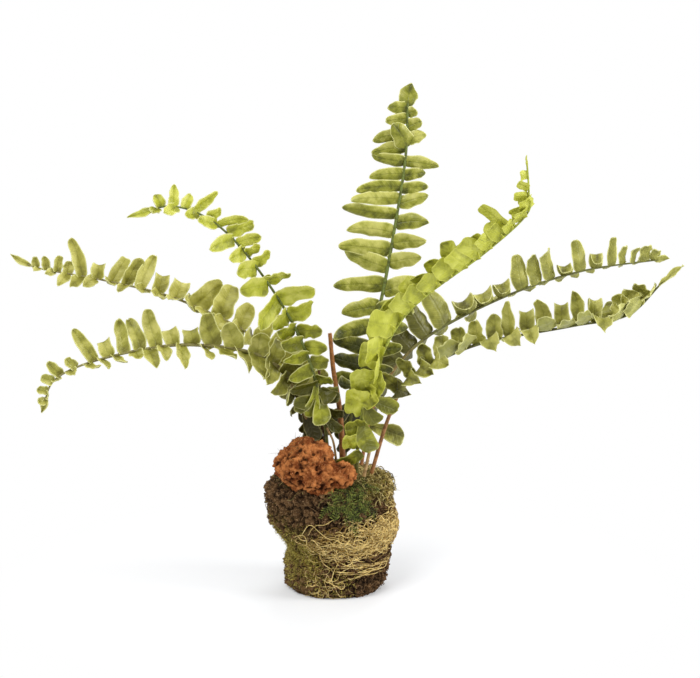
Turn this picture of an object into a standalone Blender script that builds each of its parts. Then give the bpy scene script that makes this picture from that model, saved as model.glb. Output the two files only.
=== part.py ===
"""Boston fern, lifted out of its pot: fronds and dry stalks pushed into a bare root ball.

The root ball stands on its flat underside, with a lump of bark, moss and tan root fibre on it.
Seven arching fronds grow out of the top. Units are metres, +Z is up, and the origin is the centre
of the underside. Sizes below are in millimetres and are turned to metres by MM.
"""

import math
import random

import bmesh
import bpy
from mathutils import Vector, noise
from mathutils.bvhtree import BVHTree

MM = 0.001
FIT_GAP = 0.35  # air left between two pieces that touch

# ---- driving dimensions, in millimetres ----

# The root ball, ring by ring up its side: height, radius on the right, radius on the left, where
# a groove runs round it just above the foot.
BALL_RINGS = (
    (0, 28, 26), (3, 31, 28), (7, 32, 28.8), (12, 32.6, 29), (17, 33.2, 29.2),
    (21, 33.8, 27.8), (25, 34.4, 26.8), (29, 35.2, 27.8), (33, 36.2, 31), (38, 37.8, 35.5),
    (44, 37.2, 38.6), (50, 35.8, 40.2), (57, 34.8, 41.5), (63, 34.8, 41.5), (67, 33.5, 38),
)
# Its top, as rings going in: height, share of the last ring's radius.
BALL_TOP = ((69.5, 0.72), (71.5, 0.4))
BALL_CROWN = 72.5
BALL_SIDES = 40
BALL_LUMPS = ((17, 1.5), (7, 0.6))  # size of the bumps, how far they stand out
SOCKET_DEPTH = 18  # how far a stalk is pushed into the ball
SOCKET_REACH = 9  # how far a socket's cutter goes on outside the ball, through moss or bark
SOCKET_SIDES = 10

STALK_RADIUS = 1.45  # a frond's stalk where it leaves the ball
RACHIS_TIP_RADIUS = 0.45
LEAF_THICKNESS = 0.8
LEAF_TWIST = 14  # degrees that each leaflet turns its near edge down, so the row lies in steps
LEAF_CURLS = (-30, -15, 10, 25, 45)  # degrees that a leaflet may bend from foot to tip
LOOSE_FACE = (0, -1, 0.2)
SHRINK_STEPS = (1.0, 0.85, 0.7, 0.55)  # sizes tried until a leaflet clears its neighbours
SLIMMEST_LEAF = 0.6  # half width, in mm, that a leaflet keeps beside its own stalk
BESIDE_STALK = 0.4  # how far a leaflet's edge stays off the middle of its own stalk
END_ON = 0.05  # a leaflet seen this nearly end on from its stalk needs no room beside it
RACHIS_SIDES = 6
BARE_RING_STEP = 12  # ring spacing along a bare stalk
LEAFY_RING_STEP = 5.2  # ring spacing where leaflets stand; each grows out between two rings

# Along a leaflet, as shares of its length and of its width: it is broad from the foot on.
LEAF_SECTIONS = ((0.12, 0.92), (0.65, 0.96), (1.0, 0.36))
# The leaflet that ends a frond.
END_SECTIONS = ((0.3, 0.8), (0.62, 1.0), (1.0, 0.12))

# One frond each. spine: points that it passes, from the foot in the ball's top to the tip.
# end: length and width of the leaflet that ends the frond. What changes along the frond is given
# as (distance along the spine, value) pairs. width: of a leaflet. face: where the leaflets' upper
# side looks. Then for each row, seen with the face up and the tip ahead: feet, where the leaflets
# stand, as (number of the leaflet, distance along the spine); their length; lift, how far they
# fold up towards the face, and sweep, how far they lean to the tip, in degrees. loose: leaflets
# that hang outside the rows, each with the distance of its foot, the point where its tip is and
# its width. They look towards LOOSE_FACE.
FRONDS = {
    "frond_left_low": dict(
        spine=((-13, 6, 68), (-18, 1, 108), (-38, -10, 143), (-84, -26, 156), (-130, -40, 152),
               (-161, -50, 141), (-169, -53, 121)),
        end=(9, 4), seed=11,
        width=((52, 10), (92, 12.5), (118, 10.5), (140, 8.5), (200, 7), (232, 4.5)),
        face=((41, (0.3, -0.85, 0.4)), (230, (-0.1, -0.95, 0.3))),
        left=dict(feet=((0, 48), (2, 68), (5, 105), (9, 151), (11, 168), (12, 180), (14, 197),
                        (17, 228)),
                  length=((48, 13), (68, 19), (80, 21), (105, 17), (128, 13), (139, 20),
                          (151, 11), (160, 15), (168, 8), (180, 14), (188, 10), (197, 15),
                          (206, 6), (228, 4)),
                  lift=((48, 38), (228, 48)),
                  sweep=((80, 5), (105, -28), (128, -32), (139, 12), (151, 0), (180, -10))),
        right=dict(feet=((0, 52), (4, 92), (7, 132), (8, 144), (11, 174), (13, 192), (14, 204),
                         (15, 213), (18, 232)),
                   length=((52, 16), (92, 15), (104, 18), (118, 21), (132, 12), (144, 13),
                           (155, 25), (165, 20), (174, 22), (184, 12), (192, 22), (204, 8),
                           (213, 11), (219, 8), (232, 5)),
                   lift=((52, 14), (232, 4)),
                   sweep=((92, 8), (104, 30), (118, 35), (132, 20), (155, 12), (174, 0),
                          (192, 18), (204, 30), (232, 10))),
        loose=((38, (-21, 2, 104), 6), (44, (-9, 0, 92), 9), (33, (-13, 4, 84), 9))),
    "frond_left_mid": dict(
        spine=((-6, 14, 68), (-12, 14, 108), (-42, 16, 147), (-92, 22, 173), (-139, 30, 184),
               (-183, 38, 191), (-197, 40, 200)),
        end=(14, 4), seed=12,
        width=((54, 9.5), (108, 10.5), (121, 11.5), (139, 13.5), (151, 9), (193, 7.5), (215, 7),
               (228, 5)),
        face=((52, (0.3, -0.85, 0.4)), (245, (-0.1, -0.95, 0.3))),
        left=dict(feet=((0, 58), (5, 108), (10, 160), (14, 203), (16, 220), (18, 238)),
                  length=((58, 18), (140, 18), (200, 12), (213, 13), (220, 13), (238, 6)),
                  lift=((58, 52), (140, 74), (195, 74), (205, 48), (222, 48), (235, 70)),
                  sweep=((58, 8), (238, 14))),
        right=dict(feet=((0, 54), (4, 95), (6, 121), (7, 139), (10, 174), (13, 201), (15, 220),
                         (18, 240)),
                   length=((54, 18), (95, 16), (108, 16), (121, 22), (139, 22), (151, 14),
                           (162, 14), (174, 22), (184, 19), (193, 19), (201, 11), (210, 25),
                           (220, 8), (229, 11), (240, 7)),
                   lift=((54, 10), (240, 4)),
                   sweep=((54, 0), (95, 5), (121, 15), (139, -18), (151, 8), (174, -8),
                          (193, -15), (201, 5), (210, 26), (220, 5), (240, 30))),
        loose=((38, (-3, 12, 91), 9), (38, (-17, 12, 92), 9), (46, (-12, 7, 92), 10),
               (28, (-6, 7, 82), 9))),
    "frond_left_high": dict(
        spine=((-2, -3, 68), (-7, -7, 115), (-20, -17, 159), (-43, -34, 202), (-67, -49, 232),
               (-92, -60, 244), (-116, -66, 237)),
        end=(16, 5), seed=13,
        width=((44, 9), (77, 8.5), (99, 10), (111, 12.5), (130, 12), (150, 10), (172, 8),
               (200, 6.5)),
        face=((32, (0.1, -1, 0.2)), (228, (0, -0.7, 0.7))),
        left=dict(feet=((0, 50), (2, 72), (4, 90), (7, 124), (8, 135), (10, 161), (11, 172),
                        (12, 187), (14, 214), (15, 226)),
                  length=((50, 18), (72, 16), (90, 17), (104, 11), (113, 14), (124, 23),
                          (135, 20), (148, 17), (161, 15), (172, 20), (187, 15), (200, 10),
                          (214, 14), (226, 7)),
                  lift=((50, 12), (226, 25)),
                  sweep=((50, 10), (72, 0), (90, 28), (113, 0), (124, -5), (135, 36), (148, 48),
                         (161, 35), (172, 42), (187, 62), (200, 58), (226, 40))),
        right=dict(feet=((0, 44), (3, 77), (4, 87), (7, 124), (9, 152), (13, 187), (14, 194),
                         (15, 203), (18, 223)),
                   length=((44, 13), (77, 12), (87, 14), (99, 15), (111, 19), (124, 22),
                           (138, 15), (152, 12), (162, 9), (172, 17), (187, 20), (194, 10),
                           (203, 18), (210, 9), (216, 13), (223, 9)),
                   lift=((44, 12), (150, 22), (223, 30)),
                   sweep=((44, -24), (77, -26), (111, -20), (124, -8), (138, -15), (152, 0),
                          (172, -25), (187, -36), (203, -20), (216, 0), (223, 15))),
        loose=((58, (0, -12, 119), 12), (54, (-6, -16, 105), 11), (62, (-12, -14, 108), 8),
               (42, (3, -7, 97), 7), (57, (-22, -13, 113), 8))),
    "frond_centre": dict(
        spine=((5, 10, 68), (13, 15, 116), (28, 24, 169), (38, 33, 221), (44, 39, 262),
               (45, 46, 303)),
        end=(14, 11), seed=14,
        width=((57, 10), (105, 11), (160, 9.8), (180, 8), (211, 9), (228, 6.5)),
        face=((48, (-0.1, -1, 0.1)), (227, (0, -1, 0))),
        left=dict(feet=((0, 57), (2, 78), (3, 92), (5, 118), (9, 161), (10, 171), (13, 194),
                        (15, 211), (16, 220)),
                  length=((57, 17), (67, 19), (78, 22), (92, 27), (105, 25), (118, 32),
                          (141, 32), (151, 29), (161, 34), (171, 32), (180, 29), (187, 21),
                          (194, 22), (211, 21), (220, 14)),
                  lift=((57, 6), (228, 12)),
                  sweep=((57, -5), (78, 5), (92, -16), (105, -16), (118, -5), (129, 7),
                         (141, -5), (151, 9), (171, -5))),
        right=dict(feet=((0, 64), (4, 114), (5, 132), (8, 168), (11, 194), (12, 207), (14, 223)),
                   length=((64, 20), (114, 24), (132, 21), (156, 21), (168, 20), (178, 17),
                           (188, 15), (194, 21), (207, 13), (214, 10), (223, 6)),
                   lift=((64, 8), (231, 16)),
                   sweep=((64, 18), (114, 32), (132, 20), (156, 20), (168, 27), (188, 15),
                          (194, 4), (207, 32), (223, 20))),
        loose=((226, (33, 41, 290), 7), (203, (40, 27, 280), 11), (54, (3, 10, 125), 7),
               (46, (-2, 6, 99), 10), (36, (3, 6, 90), 9), (26, (6, 6, 82), 8))),
    "frond_front_right": dict(
        spine=((13, -9, 68), (16, -18, 103), (22, -26, 132), (43, -37, 177), (88, -56, 217),
               (110, -66, 240), (111, -70, 253), (109, -74, 275)),
        end=(6, 4), seed=15,
        width=((21, 9), (30, 10), (39, 11), (55, 18), (72, 15), (87, 16), (112, 16), (128, 12),
               (171, 11), (191, 8.5), (201, 7.5), (218, 9), (227, 5)),
        face=((18, (-0.1, -1, 0.1)), (74, (-0.2, -1, 0.1)), (100, (-0.85, -0.5, 0.2)),
              (245, (-1, -0.3, 0.5))),
        left=dict(feet=((0, 21), (2, 39), (3, 55), (4, 72), (5, 87), (6, 101), (8, 120),
                        (13, 172), (16, 201), (19, 232)),
                  length=((21, 15), (30, 13), (39, 12), (55, 14), (72, 16), (87, 14), (101, 14),
                          (120, 15), (150, 16), (161, 20), (172, 13), (191, 12), (201, 22),
                          (210, 9), (232, 7)),
                  lift=((21, 15), (74, 8), (100, 50), (236, 62)),
                  sweep=((21, -32), (30, -15), (55, 0), (72, -20), (101, 0), (191, 10), (201, -4),
                         (210, 15), (232, 25))),
        right=dict(feet=((0, 64), (3, 94), (4, 110), (5, 124), (6, 134), (10, 178), (13, 202),
                         (16, 227), (17, 240)),
                   length=((64, 12), (94, 19), (112, 21), (128, 16), (139, 17), (150, 16),
                           (160, 20), (182, 20), (191, 15), (201, 10), (218, 12), (227, 9),
                           (240, 6)),
                   lift=((64, 15), (80, 25), (94, 66), (235, 74)),
                   sweep=((64, -35), (94, -5), (200, 10), (218, 50), (227, 10))),
        loose=((43, (20, -26, 90), 12), (53, (25, -24, 107), 10), (58, (38, -17, 114), 9))),
    "frond_right_mid": dict(
        spine=((16, 10, 68), (25, 15, 110), (50, 26, 144), (97, 42, 168), (151, 58, 184),
               (210, 74, 190)),
        end=(9, 6), seed=16,
        width=((34, 12), (97, 12.5), (126, 13.5), (140, 11.5), (152, 10), (203, 8.5), (213, 8),
               (224, 6), (238, 5.5), (246, 7.5)),
        face=((26, (-0.2, 0.75, 0.5)), (254, (-0.2, 0.8, 0.5))),
        left=dict(feet=((0, 44), (5, 110), (18, 242)),
                  length=((44, 14), (110, 14), (200, 11), (252, 6)),
                  lift=((44, 38), (252, 42)),
                  sweep=((44, -10), (252, 10))),
        right=dict(feet=((0, 34), (6, 110), (7, 126), (10, 164), (16, 224), (20, 253)),
                   length=((34, 24), (97, 22), (110, 26), (126, 12), (152, 12), (164, 23),
                           (175, 21), (184, 25), (194, 8), (204, 21), (214, 12), (224, 19),
                           (231, 13), (245, 12), (253, 8)),
                   lift=((34, 25), (252, 25)),
                   sweep=((34, -2), (164, 2), (184, -5), (245, 10))),
        loose=((30, (44, 13, 91), 11.5), (48, (40, 6, 109), 10))),
    "frond_right_low": dict(
        spine=((22, -4, 68), (34, -7, 109), (47, -11, 132), (83, -20, 154), (139, -31, 168),
               (172, -37, 176), (191, -42, 196), (204, -45, 206)),
        end=(18, 7), seed=17,
        width=((50, 9), (80, 9), (106, 12), (126, 9), (168, 8.5), (187, 8), (202, 12), (213, 12),
               (228, 9)),
        face=((50, (-0.3, -0.3, 0.9)), (242, (-0.2, -0.3, 0.9))),
        left=dict(feet=((0, 60), (5, 117), (7, 136), (10, 168), (12, 187), (16, 223)),
                  length=((60, 16), (106, 14), (126, 16), (136, 21), (147, 17), (157, 23),
                          (168, 18), (177, 21), (187, 17), (196, 12), (204, 15), (223, 12)),
                  lift=((60, 58), (223, 55)),
                  sweep=((60, 6), (223, 10))),
        right=dict(feet=((0, 60), (2, 80), (5, 110), (7, 137), (12, 192), (15, 226)),
                   length=((60, 16), (80, 16), (110, 15), (137, 16), (192, 16), (207, 14),
                           (226, 10)),
                   lift=((60, 42), (226, 50)),
                   sweep=((60, 6), (226, 10)))),
}

DRY_STALKS = {
    "dry_stalk_tall": dict(spine=((6, 0, 69), (4, -1, 108), (0, -3, 136), (-2, -4, 158)),
                           radii=(1.7, 1.1)),
    "dry_stalk_thin": dict(spine=((-2, 7, 69), (-5, 8, 89), (-8, 9, 112), (-9, 9, 144)),
                           radii=(0.9, 0.8)),
    "dry_stalk_short": dict(spine=((17, -15, 67), (20, -14, 80), (23, -12, 94)),
                            radii=(1.2, 0.9)),
    "dry_stalk_curved": dict(spine=((3, -7, 67), (2, -9, 78), (0, -11, 93), (-4, -11, 102)),
                             radii=(0.8, 0.6)),
}

# The bark lump: centre, half sizes, and how rough it is.
LUMP_LOBES = (((-17, -22, 81), (18, 14, 16)), ((1, -29, 78), (13, 9, 8)),
              ((-9, -32, 75), (11, 8, 8)))
LUMP_BUMPS = ((11, 2.6), (5, 1.0))

# Skins on the ball: first and last ring, middle bearing and half spread in degrees (0 is the
# right, -90 the front), thickness.
SKINS = {
    "moss_collar": dict(rings=(1, 11), bearing=-168, spread=58, thickness=1.2),
    "moss_cap": dict(rings=(11, 16), bearing=28, spread=90, thickness=3.6),
    "fibre_band": dict(rings=(4, 11), bearing=-54, spread=64, thickness=1.7),
    "fibre_loop": dict(rings=(0, 4), bearing=-92, spread=36, thickness=1.3),
}
# The next three are shares of the thickness.
SKIN_SWELL = 1.4  # how far the middle stands out past the rim
SKIN_RIM = 0.45  # how far the rim sinks
SKIN_UNEVEN = 0.3
SKIN_LUMP = 9
SKIN_ROOT = 3  # how deep the pad's inner side is before it is cut

COLOURS = {
    "root_ball": (0.045, 0.028, 0.017), "bark_lump": (0.42, 0.16, 0.045),
    "moss_collar": (0.16, 0.17, 0.03), "moss_cap": (0.12, 0.15, 0.025),
    "fibre_band": (0.55, 0.42, 0.16), "fibre_loop": (0.55, 0.42, 0.16),
    "frond": (0.22, 0.29, 0.05), "dry_stalk": (0.17, 0.06, 0.02),
}
ROUGH_SOIL = 0.95
ROUGH_LEAF = 0.5


# ---- shared helpers ----

def clear_scene():
    for obj in list(bpy.data.objects):
        bpy.data.objects.remove(obj, do_unlink=True)


def material(name, colour, roughness):
    made = bpy.data.materials.new(name)
    made.use_nodes = True
    shader = made.node_tree.nodes["Principled BSDF"]
    shader.inputs["Base Color"].default_value = (*colour, 1.0)
    shader.inputs["Roughness"].default_value = roughness
    shader.inputs["Metallic"].default_value = 0.0
    return made


def add_object(name, points, faces, finish=None, smooth_points=None):
    """A mesh object from points in millimetres, with its origin at its lowest point. Faces on
    the first smooth_points points, or all of them, are shaded smooth; flat caps stay sharp."""
    foot = min(points, key=lambda point: point.z)
    mesh = bpy.data.meshes.new(name)
    mesh.from_pydata([(point - foot) * MM for point in points], [], faces)
    mesh.update()
    limit = len(points) if smooth_points is None else smooth_points
    mesh.polygons.foreach_set("use_smooth", [max(face) < limit and len(face) < 5 for face in faces])
    obj = bpy.data.objects.new(name, mesh)
    obj.location = foot * MM
    bpy.context.scene.collection.objects.link(obj)
    if finish:
        mesh.materials.append(finish)
    return obj


def smooth_path(points, step=1.0):
    """Points about one step apart on a smooth curve through the given points (Catmull-Rom)."""
    knots = [Vector(point) for point in points]
    knots = [2 * knots[0] - knots[1], *knots, 2 * knots[-1] - knots[-2]]
    path = []
    for before, start, end, after in zip(knots, knots[1:], knots[2:], knots[3:]):
        count = max(2, round((end - start).length / step))
        for i in range(count):
            t = i / count
            path.append(0.5 * (2 * start + (end - before) * t
                               + (2 * before - 5 * start + 4 * end - after) * t ** 2
                               + (3 * start - before - 3 * end + after) * t ** 3))
    path.append(knots[-2])
    return path


class Spine:
    """A smooth curve that is read by the distance along it."""

    def __init__(self, points):
        self.path = smooth_path(points)
        self.along = [0.0]
        for a, b in zip(self.path, self.path[1:]):
            self.along.append(self.along[-1] + (b - a).length)
        self.length = self.along[-1]

    def point(self, distance):
        distance = min(max(distance, 0.0), self.length)
        for i in range(1, len(self.along)):
            if self.along[i] >= distance:
                break
        share = (distance - self.along[i - 1]) / (self.along[i] - self.along[i - 1])
        return self.path[i - 1].lerp(self.path[i], share)

    def tangent(self, distance):
        reach = 2.0
        return (self.point(distance + reach) - self.point(distance - reach)).normalized()


# ---- root ball ----

def ball_radius(ring, bearing):
    """The side's radius: the left profile fades into the right one round the front and back."""
    _, right, left = BALL_RINGS[ring]
    leftness = (0.5 - 0.5 * math.cos(bearing)) ** 1.5
    return right + (left - right) * leftness


def lumpy(point, out, bumps):
    """The point moved along out by soft noise: bumps holds (size, height) pairs."""
    moved = point.copy()
    for size, height in bumps:
        moved += out * noise.noise(point / size) * height
    return moved


def ball_rings():
    """All rings of the ball's surface, from the edge of the underside to the ring by the crown."""
    rings = []
    last = len(BALL_RINGS) - 1
    for ring, (height, _, _) in enumerate(BALL_RINGS):
        row = []
        for side in range(BALL_SIDES):
            bearing = 2 * math.pi * side / BALL_SIDES
            out = Vector((math.cos(bearing), math.sin(bearing), 0))
            point = out * ball_radius(ring, bearing) + Vector((0, 0, height))
            row.append(lumpy(point, out, BALL_LUMPS) if ring else point)
        rings.append(row)
    for height, share in BALL_TOP:
        row = []
        for side in range(BALL_SIDES):
            edge = rings[last][side]
            point = Vector((edge.x * share, edge.y * share, height))
            row.append(lumpy(point, Vector((0, 0, 1)), BALL_LUMPS))
        rings.append(row)
    return rings


def closed_rings(rings):
    """Points and faces of a closed body made of rings, with a flat face at both ends."""
    sides = len(rings[0])
    points = [point for ring in rings for point in ring]
    faces = []
    for low in range(len(rings) - 1):
        for side in range(sides):
            after = (side + 1) % sides
            a, b = low * sides + side, low * sides + after
            faces.append((a, b, b + sides, a + sides))
    faces.append(tuple(range(sides - 1, -1, -1)))
    faces.append(tuple(range(len(points) - sides, len(points))))
    return points, faces


def halves(quad):
    """Two triangles, so that a surface and its copy at an offset bend along the same lines."""
    a, b, c, d = quad
    return [(a, b, c), (a, c, d)]


def domed_rings(rings, crown):
    """Like closed_rings, in triangles and with a point at the top."""
    points, faces = closed_rings(rings)
    *sides, bottom, _ = faces
    made = [half for quad in sides for half in halves(quad)]
    first, count = len(points) - len(rings[0]), len(rings[0])
    points.append(crown)
    made += [(first + side, first + (side + 1) % count, len(points) - 1)
             for side in range(count)]
    return points, [*made, bottom]


def surface_normals(rings):
    """The outward direction at each point of the rings."""
    normals = []
    for ring, row in enumerate(rings):
        above = rings[min(ring + 1, len(rings) - 1)]
        below = rings[max(ring - 1, 0)]
        sides = len(row)
        normals.append([
            (row[(side + 1) % sides] - row[side - 1]).cross(above[side] - below[side]).normalized()
            for side in range(sides)
        ])
    return normals


def make_root_ball(finish):
    points, faces = domed_rings(ball_rings(), Vector((0, 0, BALL_CROWN)))
    return add_object("root_ball", points, faces, finish)


def make_grown_ball():
    """The ball grown by the fit gap, as a cutter for what lies on it."""
    rings = ball_rings()
    normals = surface_normals(rings)
    grown = [[point + normal * FIT_GAP for point, normal in zip(row, out)]
             for row, out in zip(rings, normals)]
    points, faces = domed_rings(grown, Vector((0, 0, BALL_CROWN + FIT_GAP)))
    return as_cutter(add_object("ball_cutter", points, faces))


def make_skin(name, rings, bearing, spread, thickness, finish):
    """A patch that follows the ball's surface: its outer side sinks into the ball at the rim, so
    that cutting the grown ball away leaves a pad with a soft, uneven outline."""
    surface = ball_rings()
    normals = surface_normals(surface)
    low, high = rings
    middle = round(bearing / 360 * BALL_SIDES)
    half = round(spread / 360 * BALL_SIDES)
    columns = range(middle - half, middle + half + 1)
    inner, outer = [], []
    for ring in range(low, high + 1):
        up = 2 * (ring - low) / (high - low) - 1
        for column in columns:
            across = (column - middle) / half
            point = surface[ring][column % BALL_SIDES]
            out = normals[ring][column % BALL_SIDES]
            swell = SKIN_SWELL * (1 - across ** 4) * (1 - up ** 4) - SKIN_RIM
            swell += SKIN_UNEVEN * noise.noise(point / SKIN_LUMP)
            inner.append(point - out * SKIN_ROOT)
            outer.append(point + out * (FIT_GAP + thickness * swell))
    wide, tall = len(columns), high - low + 1
    count = wide * tall
    faces = []
    for row in range(tall - 1):
        for column in range(wide - 1):
            a = row * wide + column
            for triangle in halves((a, a + 1, a + wide + 1, a + wide)):
                faces.append(tuple(corner + count for corner in triangle))
                faces.append(tuple(reversed(triangle)))
    rim = [*range(wide), *(row * wide + wide - 1 for row in range(1, tall)),
           *(count - 2 - i for i in range(wide - 1)),
           *(row * wide for row in range(tall - 2, 0, -1))]
    for start, end in zip(rim, rim[1:] + rim[:1]):
        faces.append((start, end, end + count, start + count))
    return add_object(name, inner + outer, faces, finish)


# ---- bark lump ----

def lobe_shape(centre, half):
    body = bmesh.new()
    bmesh.ops.create_icosphere(body, subdivisions=3, radius=1.0)
    points = []
    for vert in body.verts:
        out = vert.co.normalized()
        point = Vector(centre) + Vector([o * h for o, h in zip(out, half)])
        points.append(lumpy(point, out, LUMP_BUMPS))
    faces = [tuple(vert.index for vert in face.verts) for face in body.faces]
    body.free()
    return points, faces


def make_lump(finish):
    """Lumpy lobes joined to one body."""
    first, *others = LUMP_LOBES
    lump = add_object("bark_lump", *lobe_shape(*first), finish)
    for number, lobe in enumerate(others):
        join(lump, as_cutter(add_object(f"lobe_{number}", *lobe_shape(*lobe))))
    return lump


# ---- stalks and fronds ----

def across_frame(tangent, face):
    """(side, up) square to the tangent, with up as near to face as it can be."""
    up = (face - tangent * face.dot(tangent)).normalized()
    return tangent.cross(up).normalized(), up


def stalk_ring(centre, side, up, wide, high=None):
    """Six points round the stalk, with a flat on its right (corners 5, 0) and left (2, 3)."""
    high = high or wide
    ring = []
    for corner in range(RACHIS_SIDES):
        angle = -math.pi / 6 - corner * math.pi / 3
        ring.append(centre + side * math.cos(angle) * wide + up * math.sin(angle) * high)
    return ring


def read_off(pairs, place):
    """The value at a place, on straight lines between (place, value) pairs."""
    if place <= pairs[0][0]:
        return pairs[0][1]
    for (start, low), (end, high) in zip(pairs, pairs[1:]):
        if place <= end:
            return low + (high - low) * (place - start) / (end - start)
    return pairs[-1][1]


def leaf_plan(frond, spine):
    """Each leaflet of a frond: distance of its foot, row (1 right, -1 left), length, width,
    lift, sweep and turn about its own length, and curl, the bend from foot to tip."""
    chance = random.Random(frond["seed"])
    plan = []
    for name, row in (("left", -1), ("right", 1)):
        shape = frond[name]
        for number in range(shape["feet"][-1][0] + 1):
            foot = read_off(shape["feet"], number)
            plan.append(dict(
                foot=foot, row=row, turn=math.radians(LEAF_TWIST),
                length=read_off(shape["length"], foot) * chance.uniform(0.96, 1.04),
                width=read_off(frond["width"], foot) * chance.uniform(0.95, 1.05),
                lift=math.radians(read_off(shape["lift"], foot) + chance.uniform(-5, 5)),
                sweep=math.radians(read_off(shape["sweep"], foot) + chance.uniform(-4, 4)),
                curl=math.radians(chance.choice(LEAF_CURLS)),
            ))
    for foot, tip, width in frond.get("loose", ()):
        tangent, side, up = frond_frame(frond, spine, foot)
        reach = Vector(tip) - spine.point(foot)
        along = reach.normalized()
        row = 1 if along.dot(side) > 0 else -1
        wide, top = leaf_frame(along, tangent, row)
        face = Vector(LOOSE_FACE)
        plan.append(dict(
            foot=foot, row=row, turn=math.atan2(-face.dot(wide), face.dot(top)),
            length=reach.length, width=width, sweep=math.asin(along.dot(tangent)),
            lift=math.atan2(along.dot(up), abs(along.dot(side))), curl=0.0))
    return plan


def leaf_frame(along, tangent, row):
    """(wide, top) of a leaflet: across it, towards the frond's tip, and out of its upper side."""
    wide = (tangent - along * tangent.dot(along)).normalized()
    return wide, along.cross(wide) * row


def frond_frame(frond, spine, place):
    """Tangent, side and up of a frond at a distance along its spine."""
    tangent = spine.tangent(place)
    faces = [(distance, Vector(face)) for distance, face in frond["face"]]
    return tangent, *across_frame(tangent, read_off(faces, place))


def room_beside(offset, wide, top, tangent):
    """Half width that a leaflet may have at this offset from its own stalk without touching it."""
    cross = wide - tangent * wide.dot(tangent)
    if cross.length < END_ON or abs(offset.dot(top)) > STALK_RADIUS + LEAF_THICKNESS:
        return math.inf
    beside = abs(offset.dot(cross)) / cross.length - BESIDE_STALK
    return max(SLIMMEST_LEAF, beside / cross.length)


def leaf_points(leaf, quad, side, up, tangent, margin=0.0):
    """Rings of four points from the leaflet's foot, a flat on the stalk, to its tip. A margin
    makes it bigger all round."""
    out = side * leaf["row"]
    flat = out * math.cos(leaf["lift"]) + up * math.sin(leaf["lift"])
    along = flat * math.cos(leaf["sweep"]) + tangent * math.sin(leaf["sweep"])
    wide, top = leaf_frame(along, tangent, leaf["row"])
    wide, top = (wide * math.cos(leaf["turn"]) + top * math.sin(leaf["turn"]),
                 top * math.cos(leaf["turn"]) - wide * math.sin(leaf["turn"]))
    foot = sum(quad, Vector()) / 4
    from_axis = out * STALK_RADIUS
    centre = foot
    rings, reached = [], 0.0
    for share, breadth in LEAF_SECTIONS:
        turn = leaf["curl"] * share ** 2
        centre = centre + (along * math.cos(turn) + top * math.sin(turn)) * (
            leaf["length"] * (share - reached))
        reached = share
        skin = top * math.cos(turn) - along * math.sin(turn)
        offset = centre - foot + from_axis
        room = room_beside(offset - tangent * offset.dot(tangent), wide, top, tangent)
        half = wide * (min(leaf["width"] / 2 * breadth, room) + margin)
        thin = skin * (LEAF_THICKNESS / 2 + margin)
        rings.append([centre - half - thin, centre - half + thin,
                      centre + half + thin, centre + half - thin])
    return rings


def quad_strip(first, second):
    """Faces between two rings of four point numbers."""
    return [(first[i], first[(i + 1) % 4], second[(i + 1) % 4], second[i]) for i in range(4)]


def leaf_shape(rings, first_number):
    """Faces of the leaflet's own rings and its tip, numbered from first_number."""
    numbers = [[first_number + 4 * ring + i for i in range(4)] for ring in range(len(rings))]
    faces = []
    for low, high in zip(numbers, numbers[1:]):
        faces += quad_strip(low, high)
    faces.append(tuple(numbers[-1]))
    return numbers[0], faces


def clear_of(trees, points, faces):
    tree = BVHTree.FromPolygons(points, faces)
    return not any(tree.overlap(other) for other in trees)


def foot_rings(spine, side_face, radius):
    """Rings of the straight length that is pushed into the ball, lowest first."""
    tangent = spine.tangent(0.0)
    side, up = across_frame(tangent, side_face)
    return [stalk_ring(spine.point(0) - tangent * depth, side, up, radius)
            for depth in (SOCKET_DEPTH, SOCKET_DEPTH / 2)]


def frond_stalk(frond):
    """The frond's stalk as rings, and where each leafy ring is: (stop, side, up, tangent)."""
    spine = Spine(frond["spine"])
    first_foot = min([frond["left"]["feet"][0][1], frond["right"]["feet"][0][1]]
                     + [leaf[0] for leaf in frond.get("loose", ())])
    start = first_foot - LEAFY_RING_STEP / 2
    leafy = spine.length - frond["end"][0] - start
    stops = [i * BARE_RING_STEP for i in range(int(start / BARE_RING_STEP))]
    stops += [start + i * LEAFY_RING_STEP for i in range(int(leafy / LEAFY_RING_STEP) + 1)]
    rings = foot_rings(spine, Vector(frond["face"][0][1]), STALK_RADIUS)
    frames = [None] * len(rings)
    for stop in stops:
        tangent, side, up = frond_frame(frond, spine, stop)
        radius = STALK_RADIUS + (RACHIS_TIP_RADIUS - STALK_RADIUS) * stop / spine.length
        rings.append(stalk_ring(spine.point(stop), side, up, radius))
        frames.append((stop, side, up, tangent))
    width = frond["end"][1]
    length = spine.length - stop
    for share, breadth in END_SECTIONS:
        _, side, up = frond_frame(frond, spine, stop + length * share)
        rings.append(stalk_ring(spine.point(stop + length * share), side, up,
                                width / 2 * breadth, LEAF_THICKNESS / 2))
        frames.append(None)
    return spine, rings, frames


def ring_below(frames, foot, taken):
    """Number of the ring under the gap that is nearest to a leaflet's foot and still free."""
    free = [number for number, frame in enumerate(frames[:-1])
            if frame and frames[number + 1] and number not in taken
            and frames[number + 1][0] - frame[0] < BARE_RING_STEP]
    return min(free, key=lambda number: abs(frames[number][0] + LEAFY_RING_STEP / 2 - foot))


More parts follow.
